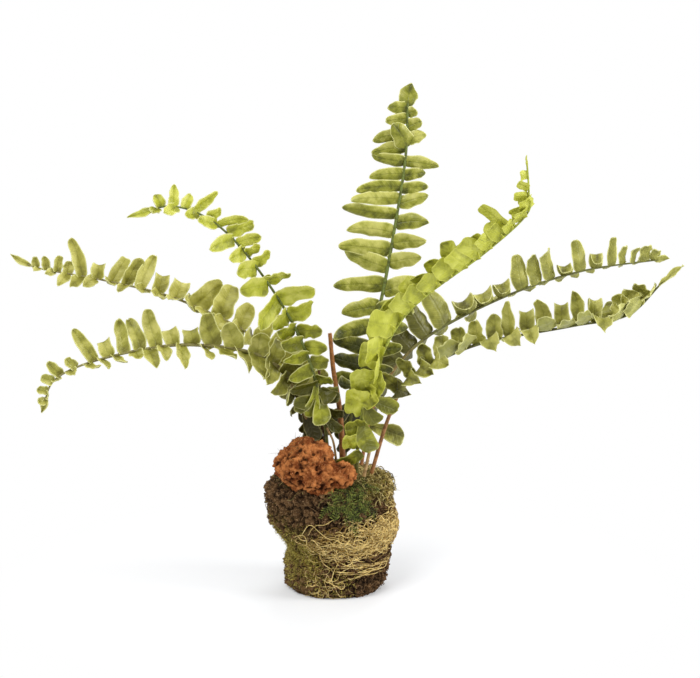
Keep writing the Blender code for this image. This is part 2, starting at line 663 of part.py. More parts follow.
def make_frond(name, frond, neighbours, finish):
    """Stalk and leaflets as one body. A leaflet that would cut a neighbour is made smaller, and
    one that still would is left out."""
    spine, rings, frames = frond_stalk(frond)
    points, faces = closed_rings(rings)
    stalk_points = len(points)
    others = [tree for other, tree in neighbours.items() if other != name]
    own = []
    taken = {-1: [], 1: []}
    for leaf in leaf_plan(frond, spine):
        number = ring_below(frames, leaf["foot"], taken[leaf["row"]])
        taken[leaf["row"]].append(number)
        _, side, up, tangent = frames[number]
        right = leaf["row"] > 0
        first_corner, next_corner = (5, 0) if right else (2, 3)
        a = number * RACHIS_SIDES + first_corner
        b = number * RACHIS_SIDES + next_corner
        quad = (a, b, b + RACHIS_SIDES, a + RACHIS_SIDES)
        low, high = (b, a) if right else (a, b)
        foot = (low, high, high + RACHIS_SIDES, low + RACHIS_SIDES)
        for shrink in SHRINK_STEPS:
            tried = dict(leaf, length=leaf["length"] * shrink, width=leaf["width"] * shrink ** 0.5)
            flat = [points[i] for i in foot]
            swollen = leaf_points(tried, flat, side, up, tangent, FIT_GAP)
            first, shape = leaf_shape(swollen, len(flat))
            corners = flat + [point for ring in swollen for point in ring]
            clear = clear_of(others, corners, quad_strip(range(4), first) + shape)
            if clear and clear_of(own, corners[len(flat):], leaf_shape(swollen, 0)[1]):
                break
        else:
            continue
        leaf_rings = leaf_points(tried, flat, side, up, tangent)
        corners = [point for ring in leaf_rings for point in ring]
        own.append(BVHTree.FromPolygons(corners, leaf_shape(leaf_rings, 0)[1]))
        first, shape = leaf_shape(leaf_rings, len(points))
        points += corners
        faces.remove(quad)
        strips = quad_strip(foot, first) + shape
        faces += [tuple(reversed(face)) for face in strips] if right else strips
    neighbours[name] = BVHTree.FromPolygons(points, faces)
    return add_object(name, points, faces, finish, stalk_points)


def make_dry_stalk(name, stalk, neighbours, finish):
    """A bare stalk, broken off square at the top."""
    spine = Spine(stalk["spine"])
    foot, top = stalk["radii"]
    face = Vector((0, -1, 0))
    rings = foot_rings(spine, face, foot)
    steps = max(3, round(spine.length / BARE_RING_STEP))
    for step in range(steps + 1):
        share = step / steps
        side, up = across_frame(spine.tangent(share * spine.length), face)
        rings.append(stalk_ring(spine.point(share * spine.length), side, up,
                                foot + (top - foot) * share))
    points, faces = closed_rings(rings)
    neighbours[name] = BVHTree.FromPolygons(points, faces)
    return add_object(name, points, faces, finish)


# ---- sockets ----

def as_cutter(obj):
    obj.hide_render = True
    obj.display_type = "WIRE"
    return obj


def make_socket_cutter(name, spine_points, radius):
    """A rod a little wider than the stalk, through the ball's top and whatever lies on it."""
    spine = Spine(spine_points)
    tangent = spine.tangent(0.0)
    side, up = across_frame(tangent, Vector((0, -1, 0)))
    wide = (radius + FIT_GAP) / math.cos(math.pi / SOCKET_SIDES)
    rings = []
    for distance in (-SOCKET_DEPTH - FIT_GAP, 0.0, SOCKET_REACH):
        centre = spine.point(distance) if distance > 0 else spine.point(0) + tangent * distance
        rings.append([centre + (side * math.cos(turn) - up * math.sin(turn)) * wide
                      for turn in (2 * math.pi * i / SOCKET_SIDES for i in range(SOCKET_SIDES))])
    points, faces = closed_rings(rings)
    return as_cutter(add_object(f"socket_cutter_{name}", points, faces))


def boolean(obj, other, operation):
    step = obj.modifiers.new(other.name, "BOOLEAN")
    step.operation = operation
    step.solver = "EXACT"
    step.object = other


def join(obj, other):
    boolean(obj, other, "UNION")


def cut(obj, cutter):
    boolean(obj, cutter, "DIFFERENCE")


def near(obj, cutter):
    """Whether two objects' boxes meet, so that only the cuts that matter are made."""
    def box(thing):
        corners = [thing.location + Vector(corner) for corner in thing.bound_box]
        return [(min(c[i] for c in corners), max(c[i] for c in corners)) for i in range(3)]
    return all(a[0] <= b[1] and b[0] <= a[1] for a, b in zip(box(obj), box(cutter)))


# ---- the fern ----

def main():
    clear_scene()
    finishes = {name: material(name, colour, ROUGH_LEAF if name == "frond" else ROUGH_SOIL)
                for name, colour in COLOURS.items()}
    ball = make_root_ball(finishes["root_ball"])
    lump = make_lump(finishes["bark_lump"])
    skins = [make_skin(name, finish=finishes[name], **skin) for name, skin in SKINS.items()]

    neighbours = {name: BVHTree.FromPolygons(*closed_rings(frond_stalk(frond)[1]))
                  for name, frond in FRONDS.items()}
    crown = Vector((0, 0, BALL_CROWN))
    neighbours["ball"] = BVHTree.FromPolygons(*domed_rings(ball_rings(), crown))
    for number, lobe in enumerate(LUMP_LOBES):
        neighbours[f"lobe_{number}"] = BVHTree.FromPolygons(*lobe_shape(*lobe))
    for name, stalk in DRY_STALKS.items():
        make_dry_stalk(name, stalk, neighbours, finishes["dry_stalk"])
    for name, frond in FRONDS.items():
        make_frond(name, frond, neighbours, finishes["frond"])

    cutters = [make_socket_cutter(name, frond["spine"], STALK_RADIUS)
               for name, frond in FRONDS.items()]
    cutters += [make_socket_cutter(name, stalk["spine"], stalk["radii"][0])
                for name, stalk in DRY_STALKS.items()]
    bpy.context.view_layer.update()
    grown_ball = make_grown_ball()
    for obj in (lump, *skins):
        cut(obj, grown_ball)
    for obj in (ball, lump, *skins):
        for cutter in cutters:
            if near(obj, cutter):
                cut(obj, cutter)


main()
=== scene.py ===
# %% [markdown]
# # A Boston fern, lifted out of its pot
#
# The real plant stands on a bare root ball: dark crumbly soil with moss, tan root fibre and a lump
# of rust-brown bark on it. Seven fronds and four dry stalks grow out of the top. The frame that is
# loaded first holds every piece at its real size as a plain solid. Each solid is then replaced by
# a detailed piece in the same place. Sizes are given in millimetres and turned to metres by MM.

import math
import random

import bmesh
import bpy
import numpy as np
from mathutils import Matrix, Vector, noise


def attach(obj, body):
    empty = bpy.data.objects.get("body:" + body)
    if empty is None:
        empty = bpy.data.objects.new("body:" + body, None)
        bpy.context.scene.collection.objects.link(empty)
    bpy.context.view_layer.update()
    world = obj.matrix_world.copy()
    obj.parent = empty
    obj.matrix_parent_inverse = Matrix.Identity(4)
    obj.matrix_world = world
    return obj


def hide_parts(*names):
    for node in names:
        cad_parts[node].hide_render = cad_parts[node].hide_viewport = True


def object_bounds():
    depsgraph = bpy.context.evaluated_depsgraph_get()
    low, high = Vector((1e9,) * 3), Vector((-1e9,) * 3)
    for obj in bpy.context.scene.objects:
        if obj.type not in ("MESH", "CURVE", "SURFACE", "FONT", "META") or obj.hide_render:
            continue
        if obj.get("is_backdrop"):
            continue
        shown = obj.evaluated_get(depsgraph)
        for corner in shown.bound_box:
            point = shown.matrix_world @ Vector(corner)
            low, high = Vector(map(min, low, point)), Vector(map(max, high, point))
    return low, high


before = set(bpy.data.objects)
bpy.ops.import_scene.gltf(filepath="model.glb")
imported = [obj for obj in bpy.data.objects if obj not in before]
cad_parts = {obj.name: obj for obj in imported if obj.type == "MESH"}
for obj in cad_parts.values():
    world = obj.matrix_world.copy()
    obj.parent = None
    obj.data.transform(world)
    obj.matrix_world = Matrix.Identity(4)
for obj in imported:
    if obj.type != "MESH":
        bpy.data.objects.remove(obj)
MM = 0.001
frame_box = [list(corner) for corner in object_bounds()]
print("frame nodes:", sorted(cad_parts))
print("frame box in mm:", [[round(c / MM, 1) for c in corner] for corner in frame_box])

# %% [markdown]
# ## Camera
#
# The plant is looked at from a little above, from far off with a long lens, so that near and far
# fronds keep the same scale. A short lens close up would show the same width, but would make the
# front fronds look too large. The camera aims at the middle of the plant's width and height.

# %% Set up the camera
LOOK_AT = Vector((10, 0, 154)) * MM
CAMERA_TILT = math.radians(12)
CAMERA_DISTANCE = 1.5
SENSOR_WIDTH = 36.0
VIEW_WIDTH = 0.42  # how wide the picture is at the plant, in metres

camera_data = bpy.data.cameras.new("camera")
camera_data.sensor_width = SENSOR_WIDTH
camera_data.lens = SENSOR_WIDTH * CAMERA_DISTANCE / VIEW_WIDTH
camera = bpy.data.objects.new("camera", camera_data)
back = Vector((0, -math.cos(CAMERA_TILT), math.sin(CAMERA_TILT)))
camera.location = LOOK_AT + back * CAMERA_DISTANCE
camera.rotation_euler = (math.radians(90) - CAMERA_TILT, 0, 0)
bpy.context.scene.collection.objects.link(camera)
bpy.context.scene.camera = camera
bpy.context.scene.view_settings.view_transform = "Standard"
print("lens in mm:", round(camera_data.lens, 1))

# %% [markdown]
# ## Light, floor and background
#
# Leaves show their folds best under one large soft light from above, on the left. A weaker one
# stands low on the right, so that the far side is not black and a soft shadow falls to the left
# too, and a third lights the rims from behind. The background is a white that only the camera and
# reflections see. The floor near the plant is part pale paint, which takes the shadow, and part
# the same plain white, so that it runs into the background without an edge.

# %% Lights
def soft_light(name, place, size, power):
    """A square light that faces the plant. Place and size are in metres, power in watts."""
    data = bpy.data.lights.new(name, "AREA")
    data.size = size
    data.energy = power
    light = bpy.data.objects.new(name, data)
    light.location = place
    light.rotation_euler = (LOOK_AT - light.location).to_track_quat("-Z", "Y").to_euler()
    bpy.context.scene.collection.objects.link(light)


soft_light("key_light", (-0.5, -0.8, 1.25), 0.8, 13.5)
soft_light("fill_light", (1.15, -0.25, 0.5), 0.6, 10.5)
soft_light("back_light", (0.2, 0.9, 1.1), 0.8, 7.0)


# %% White background
def link(tree, source, target):
    tree.links.new(source, target)


def seen_directly(tree):
    """1 for rays from the camera, from reflections and through glass, 0 for light on a surface."""
    path = tree.nodes.new("ShaderNodeLightPath")
    total = path.outputs["Is Camera Ray"]
    for other in ("Is Glossy Ray", "Is Transmission Ray"):
        both = tree.nodes.new("ShaderNodeMath")
        both.operation = "MAXIMUM"
        link(tree, total, both.inputs[0])
        link(tree, path.outputs[other], both.inputs[1])
        total = both.outputs[0]
    return total


AMBIENT = 0.55  # how strongly the surroundings light the plant
world = bpy.data.worlds.new("studio")
bpy.context.scene.world = world
world.use_nodes = True
background = world.node_tree.nodes["Background"]
background.inputs["Color"].default_value = (1.0, 1.0, 1.0, 1.0)
strength = world.node_tree.nodes.new("ShaderNodeMapRange")
strength.inputs["To Min"].default_value = AMBIENT
link(world.node_tree, seen_directly(world.node_tree), strength.inputs["Value"])
link(world.node_tree, strength.outputs["Result"], background.inputs["Strength"])
print("light from the surroundings:", AMBIENT)

# %% Floor
FLOOR_HALF = 4.0
SHADOW_REACH = (0.05, 0.21)  # metres from the middle over which the paint gives way to white
PLAIN_SHARE = 0.22  # how much plain white the floor has close to the plant


def floor_material():
    made = bpy.data.materials.new("floor_paint")
    made.use_nodes = True
    tree = made.node_tree
    paint = tree.nodes["Principled BSDF"]
    paint.inputs["Base Color"].default_value = (0.85, 0.86, 0.88, 1.0)
    paint.inputs["Roughness"].default_value = 0.9
    paint.inputs["Specular IOR Level"].default_value = 0.0
    plain = tree.nodes.new("ShaderNodeEmission")
    plain.inputs["Color"].default_value = (1.0, 1.0, 1.0, 1.0)
    place = tree.nodes.new("ShaderNodeTexCoord")
    reach = tree.nodes.new("ShaderNodeVectorMath")
    reach.operation = "LENGTH"
    link(tree, place.outputs["Object"], reach.inputs[0])
    fade = tree.nodes.new("ShaderNodeMapRange")
    fade.interpolation_type = "SMOOTHSTEP"
    fade.inputs["From Min"].default_value = SHADOW_REACH[0]
    fade.inputs["From Max"].default_value = SHADOW_REACH[1]
    fade.inputs["To Min"].default_value = PLAIN_SHARE
    link(tree, reach.outputs["Value"], fade.inputs["Value"])
    share = tree.nodes.new("ShaderNodeMath")
    share.operation = "MULTIPLY"
    link(tree, fade.outputs["Result"], share.inputs[0])
    link(tree, seen_directly(tree), share.inputs[1])
    mix = tree.nodes.new("ShaderNodeMixShader")
    link(tree, share.outputs[0], mix.inputs["Fac"])
    link(tree, paint.outputs["BSDF"], mix.inputs[1])
    link(tree, plain.outputs["Emission"], mix.inputs[2])
    link(tree, mix.outputs["Shader"], tree.nodes["Material Output"].inputs["Surface"])
    return made


floor_mesh = bpy.data.meshes.new("floor")
floor_mesh.from_pydata([(x * FLOOR_HALF, y * FLOOR_HALF, 0) for x, y in
                        ((-1, -1), (1, -1), (1, 1), (-1, 1))], [], [(0, 1, 2, 3)])
floor = bpy.data.objects.new("floor", floor_mesh)
floor_mesh.materials.append(floor_material())
bpy.context.scene.collection.objects.link(floor)
floor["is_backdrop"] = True
print("floor is", 2 * FLOOR_HALF, "m wide")

# %% [markdown]
# ## Making meshes from rows of points
#
# Every piece here is many small things of one kind: leaflets, strands, crumbs. Blender can copy
# objects for that, but the copies would be separate objects. Here numpy works out all the points
# of a piece at once, and one helper turns them into one mesh. Two numbers can be kept at each point
# in a UV layer, and a material reads them, for instance as a place on the leaf or as a shade.

# %% Mesh helper
def make_piece(name, points, quads, finishes, tris=None, layers=None, finish_of=None, sharp=60):
    """One piece of the plant, which stands with the root body. layers holds UV layers as
    name: one pair of numbers per point. finish_of is one finish number per face."""
    tris = np.zeros((0, 3), int) if tris is None else tris
    corners = np.concatenate([quads.ravel(), tris.ravel()]).astype(np.int32)
    starts = np.concatenate([np.arange(len(quads)) * 4, len(quads) * 4 + np.arange(len(tris)) * 3])
    mesh = bpy.data.meshes.new(name)
    mesh.vertices.add(len(points))
    mesh.vertices.foreach_set("co", (points * MM).astype(np.float32).ravel())
    mesh.loops.add(len(corners))
    mesh.loops.foreach_set("vertex_index", corners)
    mesh.polygons.add(len(starts))
    mesh.polygons.foreach_set("loop_start", starts.astype(np.int32))
    if finish_of is not None:
        mesh.polygons.foreach_set("material_index", finish_of.astype(np.int32))
    mesh.update(calc_edges=True)
    for layer, values in (layers or {}).items():
        uv = mesh.uv_layers.new(name=layer)
        uv.data.foreach_set("uv", values[corners].astype(np.float32).ravel())
    for finish in finishes:
        mesh.materials.append(finish)
    mesh.polygons.foreach_set("use_smooth", np.ones(len(starts), bool))
    mesh.set_sharp_from_angle(angle=math.radians(sharp))
    piece = bpy.data.objects.new(name, mesh)
    bpy.context.scene.collection.objects.link(piece)
    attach(piece, "root")
    print(f"{name}: {len(points)} points, {2 * len(quads) + len(tris)} triangles")
    return piece


def unit(vectors):
    return vectors / np.maximum(np.linalg.norm(vectors, axis=-1, keepdims=True), 1e-9)


# %% Strand helper
STRAND_SIDES = 3


def strands(paths, radii, sides=STRAND_SIDES):
    """Closed tubes: paths is (strand, step, xyz) and radii (strand, step). Gives points, quads
    and the triangles or quads of the two ends."""
    count, steps = paths.shape[:2]
    ahead = unit(np.gradient(paths, axis=1))
    side = unit(np.cross(ahead, np.array([0.31, 0.52, 0.79])))
    up = np.cross(ahead, side)
    turn = 2 * np.pi * np.arange(sides) / sides
    out = (np.cos(turn)[:, None] * side[:, :, None] + np.sin(turn)[:, None] * up[:, :, None])
    points = (paths[:, :, None] + radii[:, :, None, None] * out).reshape(-1, 3)
    ring = np.arange(sides)
    first = np.arange(count)[:, None, None] * steps * sides
    low = first + np.arange(steps - 1)[None, :, None] * sides + ring
    after = first + np.arange(steps - 1)[None, :, None] * sides + (ring + 1) % sides
    quads = np.stack([low, after, after + sides, low + sides], axis=-1).reshape(-1, 4)
    start = (first[:, 0] + ring[::-1]).reshape(-1, sides)
    end = (first[:, 0] + (steps - 1) * sides + ring).reshape(-1, sides)
    ends = np.concatenate([start, end])
    if sides == 4:
        return points, np.concatenate([quads, ends]), np.zeros((0, 3), int)
    return points, quads, ends


# %% [markdown]
# ## Shared finish: patchy colour
#
# Soil, bark, moss, fibre and leaves are never one colour. They vary in large soft patches and again
# in small specks. One node group makes that variation for all of them. It gives out a colour and a
# height, and each material feeds them to its own shader with its own sizes and colours.

# %% Patchy colour node group
def add_socket(group, name, kind, into=True, default=None):
    made = group.interface.new_socket(name, in_out="INPUT" if into else "OUTPUT",
                                      socket_type=f"NodeSocket{kind}")
    if default is not None:
        made.default_value = default


def set_input(tree, target, value):
    """Numbers and colours are set, and another node's output is linked."""
    if isinstance(value, bpy.types.NodeSocket):
        link(tree, value, target)
    else:
        target.default_value = value


def node(tree, kind, operation=None, **inputs):
    """A shader node with its inputs set, by name or as _0, _1, _2 by number."""
    made = tree.nodes.new(f"ShaderNode{kind}")
    if operation:
        made.operation = operation
    for name, value in inputs.items():
        key = int(name[1:]) if name[1:].isdigit() else name.replace("_", " ")
        set_input(tree, made.inputs[key], value)
    return made


def mix_colours(tree, share, first, second, blend="MIX"):
    made = tree.nodes.new("ShaderNodeMix")
    made.data_type = "RGBA"
    made.blend_type = blend
    for number, value in ((0, share), (6, first), (7, second)):
        set_input(tree, made.inputs[number], value)
    return made.outputs[2]


def ramp(tree, value, low, high):
    """0 below low, 1 above high, smooth between."""
    made = node(tree, "MapRange", Value=value, From_Min=low, From_Max=high)
    made.interpolation_type = "SMOOTHSTEP"
    return made.outputs["Result"]


def patchy_group():
    group = bpy.data.node_groups.new("patchy_colour", "ShaderNodeTree")
    add_socket(group, "Dark", "Color")
    add_socket(group, "Light", "Color")
    add_socket(group, "Speck", "Color")
    add_socket(group, "Patch Size", "Float", default=100.0)
    add_socket(group, "Speck Size", "Float", default=900.0)
    add_socket(group, "Speck Share", "Float", default=0.3)
    add_socket(group, "Colour", "Color", into=False)
    add_socket(group, "Height", "Float", into=False)
    given = group.nodes.new("NodeGroupInput").outputs
    result = group.nodes.new("NodeGroupOutput").inputs
    place = node(group, "TexCoord").outputs["Object"]
    patches = node(group, "TexNoise", Vector=place, Scale=given["Patch Size"], Detail=4.0,
                   Roughness=0.6).outputs["Fac"]
    fine = node(group, "TexNoise", Vector=place, Scale=given["Speck Size"], Detail=3.0,
                Roughness=0.65).outputs["Fac"]
    base = mix_colours(group, ramp(group, patches, 0.36, 0.64), given["Dark"], given["Light"])
    edge = node(group, "Math", "SUBTRACT", _0=0.78, _1=given["Speck Share"]).outputs[0]
    top = node(group, "Math", "ADD", _0=edge, _1=0.12).outputs[0]
    specks = ramp(group, fine, edge, top)
    link(group, mix_colours(group, specks, base, given["Speck"]), result["Colour"])
    both = node(group, "Math", "MULTIPLY_ADD", _0=fine, _1=0.6, _2=patches).outputs[0]
    link(group, both, result["Height"])
    return group


PATCHY = patchy_group()
print("group outputs:", [s.name for s in PATCHY.interface.items_tree if s.in_out == "OUTPUT"])


# %% Material helper
def new_finish(name, roughness):
    made = bpy.data.materials.new(name)
    made.use_nodes = True
    shader = made.node_tree.nodes["Principled BSDF"]
    shader.inputs["Roughness"].default_value = roughness
    return made, made.node_tree, shader


def rgba(*colour):
    return (*colour, 1.0)


def add_patchy(tree, dark, light, speck, patch=100.0, fine=900.0, share=0.3):
    made = tree.nodes.new("ShaderNodeGroup")
    made.node_tree = PATCHY
    for name, value in (("Dark", rgba(*dark)), ("Light", rgba(*light)), ("Speck", rgba(*speck)),
                        ("Patch Size", patch), ("Speck Size", fine), ("Speck Share", share)):
        made.inputs[name].default_value = value
    return made.outputs["Colour"], made.outputs["Height"]


def add_bump(tree, shader, height, distance, strength=0.6):
    bump = node(tree, "Bump", Height=height, Distance=distance, Strength=strength)
    link(tree, bump.outputs["Normal"], shader.inputs["Normal"])


def layer_values(tree, layer):
    """The two numbers that a piece keeps in one of its UV layers."""
    uv = tree.nodes.new("ShaderNodeUVMap")
    uv.uv_map = layer
    parts = node(tree, "SeparateXYZ", Vector=uv.outputs["UV"])
    return parts.outputs["X"], parts.outputs["Y"]


# %% [markdown]
# ## The root ball's surface as a map
#
# Soil, moss and fibre all lie on the root ball. So its surface is first made into a map: a bearing
# round the ball (0 is the right, -90 degrees the front) and a way up from the edge of the
# underside, over the rim, to the crown. Any place on the map gives a point and the direction
# straight out of the soil there. A strand can then creep over the ball by steps on the map and
# never leaves it.

# %% Root ball map
# Height, radius on the right, radius on the left, in millimetres, as in the frame's solid.
BALL_RINGS = np.array((
    (0, 28, 26), (3, 31, 28), (7, 32, 28.8), (12, 32.6, 29), (17, 33.2, 29.2),
    (21, 33.8, 27.8), (25, 34.4, 26.8), (29, 35.2, 27.8), (33, 36.2, 31), (38, 37.8, 35.5),
    (44, 37.2, 38.6), (50, 35.8, 40.2), (57, 34.8, 41.5), (63, 34.8, 41.5), (67, 33.5, 38),
    (69.5, 24.1, 27.4), (71.5, 13.4, 15.2), (72.5, 0.5, 0.5),
))
RIM_RING = 14  # the ring at the rim; those after it lie on the top
mean_side = np.stack([BALL_RINGS[:, 1:].mean(axis=1), BALL_RINGS[:, 0]], axis=1)
WAY = np.concatenate([[0], np.cumsum(np.linalg.norm(np.diff(mean_side, axis=0), axis=1))])
WAY_END = WAY[-1]
WAY_RIM = WAY[RIM_RING]
ABOVE_FLOOR = 0.3  # mm, the lowest that a strand lies


def way_at(height):
    """The way up from the underside to a height on the ball's side."""
    return np.interp(height, BALL_RINGS[:RIM_RING + 1, 0], WAY[:RIM_RING + 1])


def height_at(way):
    return np.interp(way, WAY, BALL_RINGS[:, 0])


def ball_outline(bearing, way):
    """Points on the ball, whose radius changes from right to left."""
    leftness = (0.5 - 0.5 * np.cos(bearing)) ** 1.5
    height, right, left = (np.interp(way, WAY, BALL_RINGS[:, i]) for i in range(3))
    radius = right + (left - right) * leftness
    return np.stack([radius * np.cos(bearing), radius * np.sin(bearing), height], axis=-1)


def on_ball(bearing, way, lift=0.0):
    """Points on the ball at a bearing and a way up, lifted out of the soil, and the direction
    out of the soil at each."""
    bearing, way = np.broadcast_arrays(np.asarray(bearing, float), np.asarray(way, float))
    step = 0.02
    points = ball_outline(bearing, way)
    round_it = ball_outline(bearing + step, way) - ball_outline(bearing - step, way)
    up_it = ball_outline(bearing, way + 1.0) - ball_outline(bearing, way - 1.0)
    out = unit(np.cross(round_it, up_it))
    lifted = points + out * np.asarray(lift, float)[..., None]
    lifted[..., 2] = np.maximum(lifted[..., 2], ABOVE_FLOOR)
    return lifted, out


print("way from underside to crown:", round(WAY_END, 1), "mm")

# %% [markdown]
# ## Soil
#
# Potting soil holds together in clods with shaded cracks between them. A bump texture alone would
# leave the outline smooth, so the clods are real: a fine net of points over the ball is pushed out
# by cell noise, whose cells are the clods. How far each point stands out is kept in a UV layer,
# and the material paints shade into the cracks with it; the tops stay light. Loose crumbs lie on
# top.

# %% Clods, and where green grows over them
SOIL_SIDES = 370
SOIL_ROWS = 190
# Bumps of each kind as (size, height) in millimetres.
FRAME_LUMPS = ((17, 1.5), (7, 0.6))  # the frame solid's own
CLODS = ((6.5, 1.5), (2.9, 1.6), (1.5, 0.7))
GRAINS = ((1.8, 0.9), (0.9, 0.5))
CLOD_LEVEL = 0.55  # the relief at which clods neither stand out nor go in


def clod_relief(point):
    """0 in the cracks between clods, about 1 on their tops."""
    relief = 0.0
    total = 0.0
    for size, height in CLODS:
        near = noise.voronoi(point / size)[0]
        relief += min(1.0, (near[1] - near[0]) * 2.2) * height
        total += height
    return relief / total


def moss_share(bearing, height):
    """Where green has grown over the soil: the groove at the left and the top on the right."""
    left = np.exp(-((np.cos(bearing - math.radians(-165)) - 1) / 0.35) ** 2)
    groove = np.exp(-((height - 28) / 15) ** 2)
    right = np.clip(np.cos(bearing - math.radians(15)) + 0.4, 0, 1)
    top = np.clip((height - 58) / 6, 0, 1)
    return np.clip(left * groove + right * top, 0, 1)


# %% Root ball soil
def soil_surface():
    """Rings of points over the ball with the clods raised, and the relief at each."""
    way = np.concatenate([[0.0], np.linspace(0.6, WAY_END, SOIL_ROWS - 1)])
    bearing = 2 * np.pi * np.arange(SOIL_SIDES) / SOIL_SIDES
    places, out = on_ball(bearing[None, :], way[:, None])
    places[0, :, 2] = 0.0
    relief = np.zeros(places.shape[:2])
    moved = places.copy()
    for row in range(1, SOIL_ROWS):
        for side in range(SOIL_SIDES):
            point = Vector(places[row, side])
            relief[row, side] = clod_relief(point)
            shift = sum(noise.noise(point / size) * height for size, height in FRAME_LUMPS)
            shift += (relief[row, side] - CLOD_LEVEL) * sum(height for _, height in CLODS)
            shift += sum(noise.noise(point / size) * height for size, height in GRAINS)
            moved[row, side] += out[row, side] * shift
    moved[:, :, 2] = np.maximum(moved[:, :, 2], 0.0)
    return moved, relief


def closed_net(points):
    """Points, quads and triangles of rows of rings, closed by a point below and one above."""
    rows, sides = points.shape[:2]
    low = np.arange(rows - 1)[:, None] * sides + np.arange(sides)
    after = np.arange(rows - 1)[:, None] * sides + (np.arange(sides) + 1) % sides
    quads = np.stack([low, after, after + sides, low + sides], axis=-1).reshape(-1, 4)
    middle = np.array([[0, 0, 0], points[-1].mean(axis=0)])
    flat = np.concatenate([points.reshape(-1, 3), middle])
    foot, crown = len(flat) - 2, len(flat) - 1
    ring, turned = np.arange(sides), (np.arange(sides) + 1) % sides
    last = (rows - 1) * sides
    tris = np.concatenate([
        np.stack([np.full(sides, foot), turned, ring], axis=-1),
        np.stack([np.full(sides, crown), last + ring, last + turned], axis=-1)])
    return flat, quads, tris


# %% Soil material
def soil_finish():
    made, tree, shader = new_finish("potting_soil", 0.95)
    relief, green = layer_values(tree, "relief")
    # The pale specks are partly pale grains and partly painted glints.
    colour, height = add_patchy(tree, (0.040, 0.019, 0.007), (0.135, 0.072, 0.030),
                                (0.30, 0.19, 0.10), patch=150, fine=1500, share=0.26)
    # Painted shade: where the relief is low, in the cracks between clods, the soil turns nearly
    # black.
    painted_crack_shade = mix_colours(tree, ramp(tree, relief, 0.1, 0.72), rgba(0.008, 0.004, 0.002), colour)
    moss, _ = add_patchy(tree, (0.060, 0.045, 0.008), (0.20, 0.16, 0.030), (0.32, 0.28, 0.06),
                         patch=300, fine=1200, share=0.3)
    patches = node(tree, "TexNoise", Vector=node(tree, "TexCoord").outputs["Object"],
                   Scale=190.0, Detail=3.0).outputs["Fac"]
    grown = node(tree, "Math", "MULTIPLY", _0=green, _1=ramp(tree, patches, 0.35, 0.6))
    link(tree, mix_colours(tree, grown.outputs[0], painted_crack_shade, moss), shader.inputs["Base Color"])
    shader.inputs["Specular IOR Level"].default_value = 0.06
    add_bump(tree, shader, height, 0.0006)
    return made


soil_points, soil_relief = soil_surface()
flat_points, soil_quads, soil_tris = closed_net(soil_points)
row_green = moss_share(np.arctan2(flat_points[:, 1], flat_points[:, 0]), flat_points[:, 2])
relief_values = np.concatenate([soil_relief.ravel(), [0.5, 0.5]])
SOIL = soil_finish()
root_ball = make_piece("root_ball_soil", flat_points, soil_quads, [SOIL], soil_tris,
                       layers={"relief": np.stack([relief_values, row_green], axis=1)}, sharp=180)
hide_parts("root_ball")


# %% Loose crumbs
CRUMBS = 2300


def blob_template(subdivisions):
    """Points and triangles of a small round ball."""
    body = bmesh.new()
    bmesh.ops.create_icosphere(body, subdivisions=subdivisions, radius=1.0)
    points = np.array([vert.co[:] for vert in body.verts])
    faces = np.array([[vert.index for vert in face.verts] for face in body.faces])
    body.free()
    return points, faces


def scatter_blobs(rng, places, sizes, template):
    """One rough ball at each place, each with its own stretch, turn and dents."""
    shape, faces = template
    count = len(places)
    stretch = rng.uniform(0.6, 1.25, (count, 1, 3))
    dents = 1 + rng.uniform(-0.28, 0.28, (count, len(shape), 1))
    turns = unit(rng.normal(size=(count, 3, 3)))
    turns[:, 1] = unit(np.cross(turns[:, 0], turns[:, 1]))
    turns[:, 2] = np.cross(turns[:, 0], turns[:, 1])
    points = (shape[None] * dents * stretch) @ turns
    points = places[:, None] + points * sizes[:, None, None]
    tris = faces[None] + (np.arange(count) * len(shape))[:, None, None]
    return points.reshape(-1, 3), tris.reshape(-1, 3), len(shape)


def crumbs(rng):
    """Where the crumbs lie, their sizes and how green they are."""
    bearing = rng.uniform(-np.pi, np.pi, CRUMBS)
    way = rng.uniform(1.5, WAY_END - 4, CRUMBS)
    sizes = rng.gamma(2.2, 0.26, CRUMBS).clip(0.3, 1.7)
    places, _ = on_ball(bearing, way, rng.uniform(-0.5, 0.7, CRUMBS) + 0.2 * sizes)
    places[:, 2] = np.maximum(places[:, 2], sizes * 1.3)
    return places, sizes, moss_share(bearing, places[:, 2])


crumb_places, crumb_sizes, crumb_green = crumbs(np.random.default_rng(5))
crumb_points, crumb_tris, per_crumb = scatter_blobs(np.random.default_rng(6), crumb_places,
                                                    crumb_sizes, blob_template(1))
tone = np.random.default_rng(7).uniform(0.25, 1.0, len(crumb_places))
crumb_layer = np.repeat(np.stack([tone, crumb_green * 0.7], axis=1), per_crumb, axis=0)
loose_crumbs = make_piece("loose_crumbs", crumb_points, np.zeros((0, 4), int), [SOIL], crumb_tris,
                          layers={"relief": crumb_layer}, sharp=40)
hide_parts("root_ball")

# %% [markdown]
# ## Bark lump
#
# A lump of rust-brown bark sits on the front left of the soil. It is spongy, with pits and ragged
# knobs. The frame's solid already has its size and place, so its mesh is copied, rebuilt as an even
# fine net by a voxel remesh, and pushed in and out by noise of several sizes. Carving it by hand
# would take longer and look no more natural.

# %% Bark lump
BARK_VOXEL = 0.56  # spacing of the even net, in millimetres as all of these
BARK_LUMPS = ((7.0, 1.4), (3.1, 1.3), (1.6, 1.1), (0.95, 0.7))  # size and height of its lumps
BARK_FOLD = 4.4  # spacing of its folds
BARK_PIT = 2.7  # spacing of its pits


